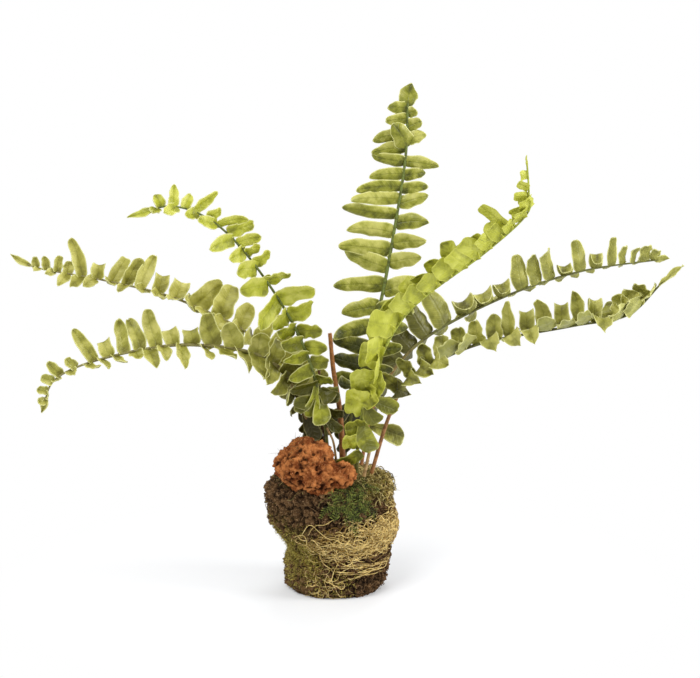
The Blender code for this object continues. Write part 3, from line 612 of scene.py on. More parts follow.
def even_net(source, name, voxel):
    """The source's mesh as an even net: points in millimetres, their normals and the faces."""
    copy = bpy.data.objects.new(name, source.data.copy())
    bpy.context.scene.collection.objects.link(copy)
    remesh = copy.modifiers.new("even_net", "REMESH")
    remesh.mode = "VOXEL"
    remesh.voxel_size = voxel * MM
    bpy.context.view_layer.update()
    evaluated = copy.evaluated_get(bpy.context.evaluated_depsgraph_get())
    mesh = bpy.data.meshes.new_from_object(evaluated)
    points = np.array([vert.co[:] for vert in mesh.vertices]) / MM
    normals = np.array([vert.normal[:] for vert in mesh.vertices])
    faces = np.array([list(face.vertices) for face in mesh.polygons])
    bpy.data.objects.remove(copy, do_unlink=True)
    bpy.data.meshes.remove(mesh)
    return points, normals, faces


def bark_relief(point):
    """How far the bark stands out at a point, in millimetres; pits and folds are below 0."""
    lumps = sum(noise.noise(point / size + Vector((3, 8, 5))) * height
                for size, height in BARK_LUMPS)
    folds = abs(noise.noise(point / BARK_FOLD + Vector((1, 2, 9)))) * 2.6 - 0.5
    pits = max(0.0, noise.noise(point / BARK_PIT + Vector((9, 4, 7))) - 0.34) * 6
    return lumps + min(0.4, folds) - pits


def bark_finish():
    made, tree, shader = new_finish("rusty_bark", 0.95)
    relief, _ = layer_values(tree, "relief")
    colour, height = add_patchy(tree, (0.15, 0.038, 0.01), (0.50, 0.185, 0.056),
                                (0.57, 0.27, 0.12), patch=190, fine=1300, share=0.2)
    # Painted shade: the bark's pits and folds, where its relief is low, are darkened nearly to
    # black.
    painted_pit_shade = mix_colours(tree, ramp(tree, relief, 0.1, 0.55), rgba(0.040, 0.011, 0.004), colour)
    link(tree, painted_pit_shade, shader.inputs["Base Color"])
    shader.inputs["Specular IOR Level"].default_value = 0.06
    add_bump(tree, shader, height, 0.0012, 0.8)
    return made


bark_points, bark_normals, bark_quads = even_net(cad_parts["bark_lump"], "bark", BARK_VOXEL)
bark_heights = np.array([bark_relief(Vector(point)) for point in bark_points])
bark_feet = bark_points + bark_normals * bark_heights[:, None]
BARK = bark_finish()
bark_shade = np.clip(0.5 + bark_heights / 4, 0, 1)
bark_lump = make_piece("bark_lump_spongy", bark_feet, bark_quads, [BARK],
                       layers={"relief": np.stack([bark_shade, bark_shade * 0], axis=1)},
                       sharp=180)
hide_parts("bark_lump")

# %% [markdown]
# ## Moss
#
# Moss is a low fur of short blades on the groove at the left, a higher tangle over the top on the
# right, and feathery sprigs that lie on the soil beside the bark. Hair particles would draw it
# fast, but they are not part of an exported model. So each blade is a thin three-sided tube,
# leaning out of the soil and curling over. A shade for each blade and the way along it are kept in
# a UV layer, so that tips are lighter than the shaded roots.

# %% Moss material
def moss_finish(name, dark, light, tip):
    made, tree, shader = new_finish(name, 0.8)
    shade, along = layer_values(tree, "strand")
    base = mix_colours(tree, shade, rgba(*dark), rgba(*light))
    # Painted highlight: towards their tips, the lighter strands turn to the tip colour, so that the
    # tips look lit and the roots shaded.
    lit = node(tree, "Math", "MULTIPLY", _0=ramp(tree, along, 0.3, 1.0),
               _1=ramp(tree, shade, 0.0, 0.5)).outputs[0]
    link(tree, mix_colours(tree, lit, base, rgba(*tip)), shader.inputs["Base Color"])
    shader.inputs["Specular IOR Level"].default_value = 0.3
    height = node(tree, "TexNoise", Vector=node(tree, "TexCoord").outputs["Object"],
                  Scale=2500.0).outputs["Fac"]
    add_bump(tree, shader, height, 0.0002)
    return made


def strand_layer(shades, steps, sides=STRAND_SIDES):
    """For each point of a bundle of strands: the strand's shade and the way along it."""
    along = np.broadcast_to(np.linspace(0, 1, steps)[None, :, None], (len(shades), steps, sides))
    shade = np.broadcast_to(shades[:, None, None], along.shape)
    return np.stack([shade.ravel(), along.ravel()], axis=1)


# %% Blades and where they stand
BLADE_STEPS = 3


def blades(rng, feet, out, length, spread, thickness, steps=BLADE_STEPS):
    """Short strands that lean out of the soil and bend over. length and thickness, the radius at
    the foot, are in mm, and spread is how far they lean away from straight out."""
    count = len(feet)
    lean = unit(out + rng.normal(scale=spread, size=(count, 3)))
    bend = rng.normal(scale=0.6, size=(count, 3)) - np.array([0, 0, 0.15])
    way = np.linspace(0, 1, steps)[None, :, None]
    reach = (length * rng.uniform(0.5, 1.2, count))[:, None, None]
    paths = feet[:, None] + (lean[:, None] * way + bend[:, None] * way ** 2) * reach
    paths[..., 2] = np.maximum(paths[..., 2], ABOVE_FLOOR)
    radii = thickness * np.linspace(1.0, 0.25, steps)[None] * rng.uniform(0.7, 1.3, (count, 1))
    return paths, radii


def choose_places(rng, count, share):
    """Random places on the ball's map, more of them where share(bearing, way) is high."""
    bearing = rng.uniform(-np.pi, np.pi, count * 12)
    way = rng.uniform(1.0, WAY_END - 5, count * 12)
    keep = rng.uniform(0, 1, count * 12) < share(bearing, way)
    return bearing[keep][:count], way[keep][:count]


def near_bearing(bearing, middle, half):
    """1 at the middle bearing, falling to 0 at half a width away, in degrees."""
    away = np.abs((np.degrees(bearing) - middle + 180) % 360 - 180)
    return np.clip(1 - (away / half) ** 2, 0, 1)


# %% Moss in the groove
COLLAR_BLADES = 9500


def collar_share(bearing, way):
    """Clumps of moss in the groove at the left, and some near the foot."""
    height = height_at(way)
    groove = np.exp(-((height - 27) / 12) ** 2) * near_bearing(bearing, -165, 80)
    foot = 0.35 * np.exp(-((height - 10) / 8) ** 2) * near_bearing(bearing, -120, 60)
    clumps = np.sin(7 * bearing + 0.4 * way) * np.sin(0.33 * way - 3 * bearing) + 0.55
    return np.clip(groove + foot, 0, 1) * np.clip(clumps + 0.3, 0, 1)


rng = np.random.default_rng(21)
bearing, way = choose_places(rng, COLLAR_BLADES, collar_share)
feet, out = on_ball(bearing, way, rng.uniform(-0.2, 0.8, len(bearing)))
paths, radii = blades(rng, feet, out, 1.25, 1.5, 0.17)
points, quads, tris = strands(paths, radii)
shades = rng.uniform(0, 1, len(paths)) ** 1.6
moss_collar = make_piece(
    "moss_collar_fur", points, quads,
    [moss_finish("yellow_green_moss", (0.12, 0.085, 0.010), (0.54, 0.44, 0.06),
                 (0.82, 0.70, 0.20))],
    tris, layers={"strand": strand_layer(shades, BLADE_STEPS)})
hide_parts("moss_collar")

# %% Strands that creep over the ball
def joined(*bundles):
    """The points, quads and triangles of several bundles of strands as one."""
    points, quads, tris = [], [], []
    count = 0
    for some_points, some_quads, some_tris in bundles:
        points.append(some_points)
        quads.append(some_quads + count)
        tris.append(some_tris + count)
        count += len(some_points)
    return np.concatenate(points), np.concatenate(quads), np.concatenate(tris)


def creep(rng, bearing, way, heading, steps, step, curl, lift, target=None):
    """Paths over the ball, with points step mm apart, that rise up to lift mm out of the soil.
    Every strand turns by its own slowly changing curl, and is drawn back to its target, a way up
    at each bearing, when it has one."""
    count = len(bearing)
    turn = rng.normal(scale=curl, size=count)
    phase = rng.uniform(0, 6.28, (2, count))
    onward = np.sign(np.cos(heading))
    paths = []
    for number in range(steps):
        rise = lift * (0.45 + 0.3 * np.sin(phase[0] + number * 0.55)
                       + 0.25 * np.sin(phase[1] + number * 0.23))
        points, _ = on_ball(bearing, way, np.maximum(rise, 0.25))
        paths.append(points)
        radius = np.maximum(np.linalg.norm(points[:, :2], axis=1), 8)
        bearing = bearing + step * np.cos(heading) / radius
        way = np.clip(way + step * np.sin(heading), 1.0, WAY_END - 8)
        turn = 0.85 * turn + rng.normal(scale=curl * 0.5, size=count)
        heading = heading + turn
        if target is not None:
            wanted = np.arctan2(0.15 * (target(bearing) - way), onward)
            off = (wanted - heading + np.pi) % (2 * np.pi) - np.pi
            heading = heading + 0.26 * off
    return np.stack(paths, axis=1)


# %% Moss over the top
CAP_CURLS = 1000  # long curled strands
CAP_TUFTS = 3600  # short blades between them
CAP_STEPS = 12


def cap_share(bearing, way):
    """Moss over the top on the right, thinner behind."""
    over = np.clip((way - way_at(55)) / 9, 0, 1) * near_bearing(bearing, 20, 120)
    behind = np.clip((way - WAY_RIM) / 8, 0, 1) * 0.5
    return np.clip(over + behind, 0, 1)


def light_side(bearing):
    """Dark in the middle of the front, where the stalks shade the moss, and light to the right."""
    return 0.25 + 0.75 * np.clip((np.degrees(bearing) + 75) / 50, 0, 1)


rng = np.random.default_rng(22)
bearing, way = choose_places(rng, CAP_CURLS, cap_share)
curls = creep(rng, bearing, way, rng.uniform(-3, 3, len(bearing)), CAP_STEPS, 0.9, 0.45, 3.4)
curl_light = light_side(bearing)
curl_radii = np.tile(rng.uniform(0.14, 0.26, (len(curls), 1)), (1, CAP_STEPS))
curl_radii[:, -1] *= 0.4
bearing, way = choose_places(rng, CAP_TUFTS, cap_share)
feet, out = on_ball(bearing, way, rng.uniform(0, 1.6, len(bearing)))
tufts, tuft_radii = blades(rng, feet, out, 2.1, 1.1, 0.17)
tuft_light = light_side(bearing)
points, quads, tris = joined(strands(curls, curl_radii), strands(tufts, tuft_radii))
moss_cap = make_piece(
    "moss_cap_tangle", points, quads,
    [moss_finish("olive_moss", (0.04, 0.03, 0.005), (0.30, 0.22, 0.04), (0.74, 0.60, 0.24))],
    tris, layers={"strand": np.concatenate([
        strand_layer(rng.uniform(0.1, 1, len(curls)) * curl_light, CAP_STEPS),
        strand_layer(rng.uniform(0, 1, len(tufts)) ** 1.5 * tuft_light, BLADE_STEPS)])})
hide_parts("moss_cap")


# %% Feathery moss beside the bark
SPRIGS = 54
SPRIG_STEPS = 7
BARB_RADII = (0.26, 0.34, 0.1)  # at the stem, in the middle and at the tip


def sprigs(rng, count):
    """Sprigs of feather moss: a thin stem each, with short barbs in two rows."""
    bearing = np.radians(rng.uniform(-94, -50, count))
    way = rng.uniform(way_at(50), WAY_RIM + 9, count)
    _, out = on_ball(bearing, way)
    stems = creep(rng, bearing, way, rng.uniform(-3, 3, count), SPRIG_STEPS, 1.5, 0.15, 3.2)
    stem_radii = np.tile(np.linspace(0.26, 0.08, SPRIG_STEPS), (count, 1))
    barbs, barb_radii = [], []
    for step in range(1, SPRIG_STEPS):
        ahead = unit(stems[:, step] - stems[:, step - 1])
        side = unit(np.cross(ahead, out))
        for hand in (-1, 1):
            reach = (3.1 - 0.35 * step) * rng.uniform(0.8, 1.2, (count, 1))
            tip = stems[:, step] + (hand * side + 0.7 * ahead) * reach
            middle = (stems[:, step] + tip) / 2 + out * 0.2
            barbs.append(np.stack([stems[:, step], middle, tip], axis=1))
            barb_radii.append(np.tile([BARB_RADII], (count, 1)))
    return (stems, stem_radii), (np.concatenate(barbs), np.concatenate(barb_radii))


rng = np.random.default_rng(23)
(stems, stem_radii), (barbs, barb_radii) = sprigs(rng, SPRIGS)
points, quads, tris = joined(strands(stems, stem_radii), strands(barbs, barb_radii))
moss_sprigs = make_piece(
    "feather_moss", points, quads,
    [moss_finish("feather_moss_green", (0.012, 0.012, 0.003), (0.085, 0.108, 0.014),
                 (0.27, 0.31, 0.055))],
    tris, layers={"strand": np.concatenate([
        strand_layer(rng.uniform(0, 1, len(stems)), SPRIG_STEPS),
        strand_layer(rng.uniform(0, 1, len(barbs)), len(BARB_RADII))])})
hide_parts("moss_cap")

# %% [markdown]
# ## Root fibre
#
# Tan root fibre is wound loosely round the front and right of the ball, curled like wood wool, with
# loops hanging near the foot. Each fibre starts somewhere in the band, creeps over the map with a
# heading that keeps turning, and rises and falls a little, so that fibres pass over each other.
# Drawing each one by hand would take far longer and give no better tangle.

# %% The band that fibre lies in
BAND_BEARINGS = (-134, -112, -90, -64, -35, 0, 30)
BAND_MIDDLE = (39, 35, 32, 36, 41, 43, 46)  # height of the band's middle at those bearings
BAND_HALF = (2.5, 7, 9, 9, 7, 8, 11)  # and half of its width


def band_at(bearing):
    """The bearing in degrees from the back left round to the right, and the band's middle and
    half width there."""
    degrees = (np.degrees(bearing) + 360 + 140) % 360 - 140
    middle = np.interp(degrees, BAND_BEARINGS, BAND_MIDDLE)
    return degrees, middle, np.interp(degrees, BAND_BEARINGS, BAND_HALF)


def band_share(bearing, way):
    """The band is narrow at the left and widens to the right."""
    degrees, middle, half = band_at(bearing)
    inside = np.clip(1.15 - ((height_at(way) - middle) / half) ** 2, 0, 1)
    ends = np.clip((degrees + 137) / 10, 0, 1) * np.clip((38 - degrees) / 25, 0, 1)
    return inside * ends


def in_band(places):
    """The way up that each fibre is drawn to, at its own place between the band's edges."""
    def target(bearing):
        _, middle, half = band_at(bearing)
        return way_at(middle + places * half)
    return target


# %% Fibre material
def fibre_finish():
    made, tree, shader = new_finish("tan_root_fibre", 0.75)
    shade, _ = layer_values(tree, "strand")
    # The pale specks are partly paler fibre and partly painted highlights.
    colour, height = add_patchy(tree, (0.42, 0.26, 0.055), (0.86, 0.64, 0.21), (0.95, 0.82, 0.46),
                                patch=400, fine=2600, share=0.28)
    dull = mix_colours(tree, ramp(tree, shade, 0.0, 0.6), rgba(0.20, 0.115, 0.025), colour)
    link(tree, dull, shader.inputs["Base Color"])
    shader.inputs["Specular IOR Level"].default_value = 0.12
    add_bump(tree, shader, height, 0.0002)
    return made


# %% Root fibre
FIBRE_STEPS = 32
FIBRE_SIDES = 4
BAND_FIBRES = 340
LOW_FIBRES = 15  # below the band at the front
RIGHT_FIBRES = 40  # above it, up to the rim on the right
LOOPS = 22


def level_fibres(rng, bearings, heights, curl):
    """Fibres that run round the ball, falling or rising to a height of their own."""
    count = len(heights)
    bearing = np.radians(rng.uniform(*bearings, count))
    wanted = way_at(heights)
    return creep(rng, bearing, wanted + rng.normal(scale=3.0, size=count),
                 rng.normal(scale=0.3, size=count), FIBRE_STEPS, 1.1, curl, 1.6,
                 lambda bearing: wanted)


rng = np.random.default_rng(31)
bearing, way = choose_places(rng, BAND_FIBRES, band_share)
heading = rng.normal(scale=0.7, size=len(bearing)) + np.where(bearing > math.radians(-45), np.pi, 0)
band = creep(rng, bearing, way, heading, FIBRE_STEPS, 1.05, 0.36, 2.4,
             in_band(rng.uniform(-1, 1, len(bearing))))
low = level_fibres(rng, (-100, -50), rng.uniform(12, 22, LOW_FIBRES), 0.06)
right = level_fibres(rng, (-35, 15), rng.uniform(59, 67, RIGHT_FIBRES), 0.3)
loop_bearing = np.radians(rng.uniform(-112, -90, LOOPS))
loop_heading = rng.normal(scale=0.4, size=LOOPS) + rng.choice((-1.4, 1.6), LOOPS)
loops = creep(rng, loop_bearing, way_at(5) + rng.uniform(0, 12, LOOPS), loop_heading,
              FIBRE_STEPS, 0.6, 0.2, 1.8)
paths = np.concatenate([band, low, right, loops])
radii = (rng.uniform(0.13, 0.27, (len(paths), 1))
         * np.interp(np.linspace(0, 1, FIBRE_STEPS), (0, 0.1, 0.9, 1), (0.4, 1, 1, 0.4))[None])
points, quads, tris = strands(paths, radii, FIBRE_SIDES)
FIBRE = fibre_finish()
root_fibre = make_piece("root_fibre_tangle", points, quads, [FIBRE], tris,
                        layers={"strand": strand_layer(rng.uniform(0, 1, len(paths)),
                                                       FIBRE_STEPS, FIBRE_SIDES)})
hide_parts("fibre_band", "fibre_loop")

# %% Fine dark rootlets all over the soil
ROOTLETS = 420
ROOTLET_STEPS = 12
rng = np.random.default_rng(33)
rootlets = creep(rng, rng.uniform(-np.pi, np.pi, ROOTLETS), rng.uniform(3, WAY_RIM, ROOTLETS),
                 rng.uniform(-3, 3, ROOTLETS), ROOTLET_STEPS, 0.8, 0.3, 1.6)
rootlet_radii = np.tile(rng.uniform(0.07, 0.15, (ROOTLETS, 1)), (1, ROOTLET_STEPS))
points, quads, tris = strands(rootlets, rootlet_radii)
root_hairs = make_piece(
    "dark_rootlets", points, quads,
    [moss_finish("brown_rootlet", (0.03, 0.014, 0.005), (0.17, 0.09, 0.035), (0.24, 0.14, 0.06))],
    tris, layers={"strand": strand_layer(rng.uniform(0, 1, ROOTLETS), ROOTLET_STEPS)})
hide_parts("root_ball")

# %% Wisps on the bark's upper left
WISPS = 130
WISP_STEPS = 5
rng = np.random.default_rng(34)
wisp_share = (np.clip((bark_points[:, 2] - 84) / 12, 0, 1)
              * np.clip((-8 - bark_points[:, 0]) / 12, 0, 1))
wisp_at = rng.choice(len(bark_points), WISPS, p=wisp_share / wisp_share.sum())
paths, radii = blades(rng, bark_feet[wisp_at], bark_normals[wisp_at], 2.6, 1.2, 0.13,
                      steps=WISP_STEPS)
points, quads, tris = strands(paths, radii)
bark_wisps = make_piece(
    "bark_wisps", points, quads,
    [moss_finish("dark_wisp", (0.045, 0.028, 0.008), (0.15, 0.11, 0.03), (0.22, 0.18, 0.06))],
    tris, layers={"strand": strand_layer(rng.uniform(0, 1, len(paths)), WISP_STEPS)})
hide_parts("bark_lump")

# %% [markdown]
# ## Fronds: the line they grow along
#
# A frond is a stalk that arches over, with two rows of leaflets. Its shape is set by a few points
# that the stalk passes and by where the leaflets' upper side looks, because a frond twists on its
# way out. The same few numbers set the frame's plain fronds, so the detailed ones lie in them.

# %% Frond measures
# spine: points in millimetres, from the foot in the soil to the tip. end: length and width of the
# leaflet at the end. What changes along the frond is given as (distance along the spine, value)
# pairs. width: of a leaflet. face: where the upper sides look. Then for each row: feet, where the
# leaflets stand, as (number, distance); their length; lift towards the face and sweep to the
# tip, in degrees. rolled: numbers of the leaflets with rolled tips. loose: leaflets outside the
# rows, as (distance along the spine, where the tip is, width). Near the crown a few lifts turn
# leaflets further out of each other's way than the plain ones, so that none crosses another frond.
FRONDS = {
    "frond_left_low": dict(
        spine=((-13, 6, 68), (-18, 1, 108), (-38, -10, 143), (-84, -26, 156), (-130, -40, 152),
               (-161, -50, 141), (-169, -53, 121)),
        end=(9, 4), seed=11,
        width=((52, 10), (92, 12.5), (118, 10.5), (140, 8.5), (200, 7), (232, 4.5)),
        face=((41, (0.3, -0.85, 0.4)), (230, (-0.1, -0.95, 0.3))),
        left=dict(feet=((0, 48), (2, 68), (5, 105), (9, 151), (11, 168), (12, 180), (14, 197),
                        (17, 228)),
                  length=((48, 13), (68, 19), (80, 21), (105, 17), (128, 13), (139, 20),
                          (151, 11), (160, 15), (168, 8), (180, 14), (188, 10), (197, 15),
                          (206, 6), (228, 4)),
                  lift=((48, 15), (68, 38), (228, 48)),
                  sweep=((80, 5), (105, -28), (128, -32), (139, 12), (151, 0), (180, -10))),
        right=dict(feet=((0, 52), (4, 92), (7, 132), (8, 144), (11, 174), (13, 192), (14, 204),
                         (15, 213), (18, 232)),
                   length=((52, 16), (92, 15), (104, 18), (118, 21), (132, 12), (144, 13),
                           (155, 25), (165, 20), (174, 22), (184, 12), (192, 22), (204, 8),
                           (213, 11), (219, 8), (232, 5)),
                   lift=((52, 14), (232, 4)),
                   sweep=((92, 8), (104, 30), (118, 35), (132, 20), (155, 12), (174, 0),
                          (192, 18), (204, 30), (232, 10)),
                   rolled=(7, 8, 12)),
        loose=((38, (-21, 2, 104), 6), (44, (-9, 0, 92), 9), (33, (-13, 4, 84), 9))),
    "frond_left_mid": dict(
        spine=((-6, 14, 68), (-12, 14, 108), (-42, 16, 147), (-92, 22, 173), (-139, 30, 184),
               (-183, 38, 191), (-197, 40, 200)),
        end=(14, 4), seed=12,
        width=((54, 9.5), (108, 10.5), (121, 11.5), (139, 13.5), (151, 9), (193, 7.5), (215, 7),
               (228, 5)),
        face=((52, (0.3, -0.85, 0.4)), (245, (-0.1, -0.95, 0.3))),
        left=dict(feet=((0, 58), (5, 108), (10, 160), (14, 203), (16, 220), (18, 238)),
                  length=((58, 18), (140, 18), (200, 12), (213, 13), (220, 13), (238, 6)),
                  lift=((58, 20), (90, 52), (140, 74), (195, 74), (205, 48), (222, 48), (235, 70)),
                  sweep=((58, 8), (238, 14))),
        right=dict(feet=((0, 54), (4, 95), (6, 121), (7, 139), (10, 174), (13, 201), (15, 220),
                         (18, 240)),
                   length=((54, 18), (95, 16), (108, 16), (121, 22), (139, 22), (151, 14),
                           (162, 14), (174, 22), (184, 19), (193, 19), (201, 11), (210, 25),
                           (220, 8), (229, 11), (240, 7)),
                   lift=((54, 10), (240, 4)),
                   sweep=((54, 0), (95, 5), (121, 15), (139, -18), (151, 8), (174, -8),
                          (193, -15), (201, 5), (210, 26), (220, 5), (240, 30)),
                   rolled=(8, 9, 13)),
        loose=((38, (-3, 12, 91), 9), (38, (-17, 12, 92), 9), (46, (-12, 7, 92), 10),
               (28, (-10, 9, 81), 8))),
    "frond_left_high": dict(
        spine=((-2, -3, 68), (-7, -7, 115), (-20, -17, 159), (-43, -34, 202), (-67, -49, 232),
               (-92, -60, 244), (-116, -66, 237)),
        end=(16, 5), seed=13,
        width=((44, 9), (77, 8.5), (99, 10), (111, 12.5), (130, 12), (150, 10), (172, 8),
               (200, 6.5)),
        face=((32, (0.1, -1, 0.2)), (228, (0, -0.7, 0.7))),
        left=dict(feet=((0, 50), (2, 72), (4, 90), (7, 124), (8, 135), (10, 161), (11, 172),
                        (12, 187), (14, 214), (15, 226)),
                  length=((50, 18), (72, 16), (90, 17), (104, 11), (113, 14), (124, 23),
                          (135, 20), (148, 17), (161, 15), (172, 20), (187, 15), (200, 10),
                          (214, 14), (226, 7)),
                  lift=((50, 12), (226, 25)),
                  sweep=((50, 10), (72, 0), (90, 28), (113, 0), (124, -5), (135, 36), (148, 48),
                         (161, 35), (172, 42), (187, 62), (200, 58), (226, 40))),
        right=dict(feet=((0, 44), (3, 77), (4, 87), (7, 124), (9, 152), (13, 187), (14, 194),
                         (15, 203), (18, 223)),
                   length=((44, 13), (77, 12), (87, 14), (99, 15), (111, 19), (124, 22),
                           (138, 15), (152, 12), (162, 9), (172, 17), (187, 20), (194, 10),
                           (203, 18), (210, 9), (216, 13), (223, 9)),
                   lift=((44, 12), (150, 22), (223, 30)),
                   sweep=((44, -24), (77, -26), (111, -20), (124, -8), (138, -15), (152, 0),
                          (172, -25), (187, -36), (203, -20), (216, 0), (223, 15))),
        loose=((58, (0, -12, 119), 12), (54, (-6, -16, 105), 11), (62, (-12, -14, 108), 8),
               (42, (3, -7, 97), 7), (57, (-22, -13, 113), 8))),
    "frond_centre": dict(
        spine=((5, 10, 68), (13, 15, 116), (28, 24, 169), (38, 33, 221), (44, 39, 262),
               (45, 46, 303)),
        end=(14, 11), seed=14,
        width=((57, 10), (105, 11), (160, 9.8), (180, 8), (211, 9), (228, 6.5)),
        face=((48, (-0.1, -1, 0.1)), (227, (0, -1, 0))),
        left=dict(feet=((0, 57), (2, 78), (3, 92), (5, 118), (9, 161), (10, 171), (13, 194),
                        (15, 211), (16, 220)),
                  length=((57, 17), (67, 19), (78, 22), (92, 27), (105, 25), (118, 32),
                          (141, 32), (151, 29), (161, 34), (171, 32), (180, 29), (187, 21),
                          (194, 22), (211, 21), (220, 14)),
                  lift=((57, 6), (228, 12)),
                  sweep=((57, -5), (78, 5), (92, -16), (105, -16), (118, -5), (129, 7),
                         (141, -5), (151, 9), (171, -5))),
        right=dict(feet=((0, 64), (4, 114), (5, 132), (8, 168), (11, 194), (12, 207), (14, 223)),
                   length=((64, 20), (114, 24), (132, 21), (156, 21), (168, 20), (178, 17),
                           (188, 15), (194, 21), (207, 13), (214, 10), (223, 6)),
                   lift=((64, 28), (78, 8), (231, 16)),
                   sweep=((64, 18), (114, 32), (132, 20), (156, 20), (168, 27), (188, 15),
                          (194, 4), (207, 32), (223, 20))),
        loose=((226, (33, 41, 290), 7), (203, (40, 27, 280), 11), (54, (3, 10, 125), 7),
               (46, (-2, 6, 99), 10), (36, (4, 6, 90), 8), (26, (6, 6, 82), 8))),
    "frond_front_right": dict(
        spine=((13, -9, 68), (16, -18, 103), (22, -26, 132), (43, -37, 177), (88, -56, 217),
               (110, -66, 240), (111, -70, 253), (109, -74, 275)),
        end=(6, 4), seed=15,
        width=((21, 9), (30, 10), (39, 11), (55, 18), (72, 15), (87, 16), (112, 16), (128, 12),
               (171, 11), (191, 8.5), (201, 7.5), (218, 9), (227, 5)),
        face=((18, (-0.1, -1, 0.1)), (74, (-0.2, -1, 0.1)), (100, (-0.85, -0.5, 0.2)),
              (245, (-1, -0.3, 0.5))),
        left=dict(feet=((0, 21), (2, 39), (3, 55), (4, 72), (5, 87), (6, 101), (8, 120),
                        (13, 172), (16, 201), (19, 232)),
                  length=((21, 15), (30, 13), (39, 12), (55, 14), (72, 16), (87, 14), (101, 14),
                          (120, 15), (150, 16), (161, 20), (172, 13), (191, 12), (201, 22),
                          (210, 9), (232, 7)),
                  lift=((21, 15), (74, 8), (100, 50), (236, 62)),
                  sweep=((21, -32), (30, -15), (55, 0), (72, -20), (101, 0), (191, 10), (201, -4),
                         (210, 15), (232, 25))),
        right=dict(feet=((0, 64), (3, 94), (4, 110), (5, 124), (6, 134), (10, 178), (13, 202),
                         (16, 227), (17, 240)),
                   length=((64, 12), (94, 19), (112, 21), (128, 16), (139, 17), (150, 16),
                           (160, 20), (182, 20), (191, 15), (201, 10), (218, 12), (227, 9),
                           (240, 6)),
                   lift=((64, 15), (80, 25), (94, 66), (235, 74)),
                   sweep=((64, -35), (94, -5), (200, 10), (218, 50), (227, 10))),
        loose=((43, (20, -26, 90), 12), (53, (25, -24, 107), 10), (58, (38, -17, 114), 9))),
    "frond_right_mid": dict(
        spine=((16, 10, 68), (25, 15, 110), (50, 26, 144), (97, 42, 168), (151, 58, 184),
               (210, 74, 190)),
        end=(9, 6), seed=16,
        width=((34, 12), (97, 12.5), (126, 13.5), (140, 11.5), (152, 10), (203, 8.5), (213, 8),
               (224, 6), (238, 5.5), (246, 7.5)),
        face=((26, (-0.2, 0.75, 0.5)), (254, (-0.2, 0.8, 0.5))),
        left=dict(feet=((0, 44), (5, 110), (18, 242)),
                  length=((44, 14), (110, 14), (200, 11), (252, 6)),
                  lift=((44, 38), (252, 42)),
                  sweep=((44, -10), (252, 10))),
        right=dict(feet=((0, 34), (6, 110), (7, 126), (10, 164), (16, 224), (20, 253)),
                   length=((34, 24), (97, 22), (110, 26), (126, 12), (152, 12), (164, 23),
                           (175, 21), (184, 25), (194, 8), (204, 21), (214, 12), (224, 19),
                           (231, 13), (245, 12), (253, 8)),
                   lift=((34, 80), (60, 68), (85, 48), (98, 25), (252, 25)),
                   sweep=((34, -2), (164, 2), (184, -5), (245, 10)),
                   rolled=(7, 8, 9, 13, 15)),
        loose=((30, (44, 13, 91), 11.5), (48, (40, 6, 109), 10))),
    "frond_right_low": dict(
        spine=((22, -4, 68), (34, -7, 109), (47, -11, 132), (83, -20, 154), (139, -31, 168),
               (172, -37, 176), (191, -42, 196), (204, -45, 206)),
        end=(18, 7), seed=17,
        width=((50, 9), (80, 9), (106, 12), (126, 9), (168, 8.5), (187, 8), (202, 12), (213, 12),
               (228, 9)),
        face=((50, (-0.3, -0.3, 0.9)), (242, (-0.2, -0.3, 0.9))),
        left=dict(feet=((0, 60), (5, 117), (7, 136), (10, 168), (12, 187), (16, 223)),
                  length=((60, 16), (106, 14), (126, 16), (136, 21), (147, 17), (157, 23),
                          (168, 18), (177, 21), (187, 17), (196, 12), (204, 15), (223, 12)),
                  lift=((60, 58), (223, 55)),
                  sweep=((60, 6), (223, 10)),
                  rolled=(8, 10, 12)),
        right=dict(feet=((0, 60), (2, 80), (5, 110), (7, 137), (12, 192), (15, 226)),
                   length=((60, 16), (80, 16), (110, 15), (137, 16), (192, 16), (207, 14),
                           (226, 10)),
                   lift=((60, 42), (226, 50)),
                   sweep=((60, 6), (226, 10)),
                   rolled=(0, 1, 2, 3, 6, 7, 8, 12))),
}
print("fronds:", len(FRONDS))


# %% The line through a few points
def smooth_path(points, step=1.0):
    """Points about one step apart on a smooth curve through the given ones (Catmull-Rom)."""
    knots = [Vector(point) for point in points]
    knots = [2 * knots[0] - knots[1], *knots, 2 * knots[-1] - knots[-2]]
    path = []
    for before, start, end, after in zip(knots, knots[1:], knots[2:], knots[3:]):
        count = max(2, round((end - start).length / step))
        for i in range(count):
            t = i / count
            path.append(0.5 * (2 * start + (end - before) * t
                               + (2 * before - 5 * start + 4 * end - after) * t ** 2
                               + (3 * start - before - 3 * end + after) * t ** 3))
    path.append(knots[-2])
    return path


class Spine:
    """A smooth curve that is read by the distance along it."""

    def __init__(self, points):
        self.path = np.array(smooth_path(points))
        steps = np.linalg.norm(np.diff(self.path, axis=0), axis=1)
        self.along = np.concatenate([[0], np.cumsum(steps)])
        self.length = float(self.along[-1])

    def point(self, distance):
        return np.array([np.interp(distance, self.along, self.path[:, i]) for i in range(3)])

    def tangent(self, distance):
        reach = 2.0
        return unit(self.point(distance + reach) - self.point(distance - reach))


def read_off(pairs, place):
    """The value at a place, on straight lines between (place, value) pairs."""
    places = [pair[0] for pair in pairs]
    values = np.array([pair[1] for pair in pairs], float)
    if values.ndim == 1:
        return float(np.interp(place, places, values))
    return np.array([np.interp(place, places, values[:, i]) for i in range(values.shape[1])])


def across_frame(tangent, face):
    """(side, up) square to the tangent, with up as near to face as it can be."""
    up = unit(face - tangent * np.dot(face, tangent))
    return unit(np.cross(tangent, up)), up


print("spine lengths in mm:",
      {name: round(Spine(frond["spine"]).length) for name, frond in FRONDS.items()})

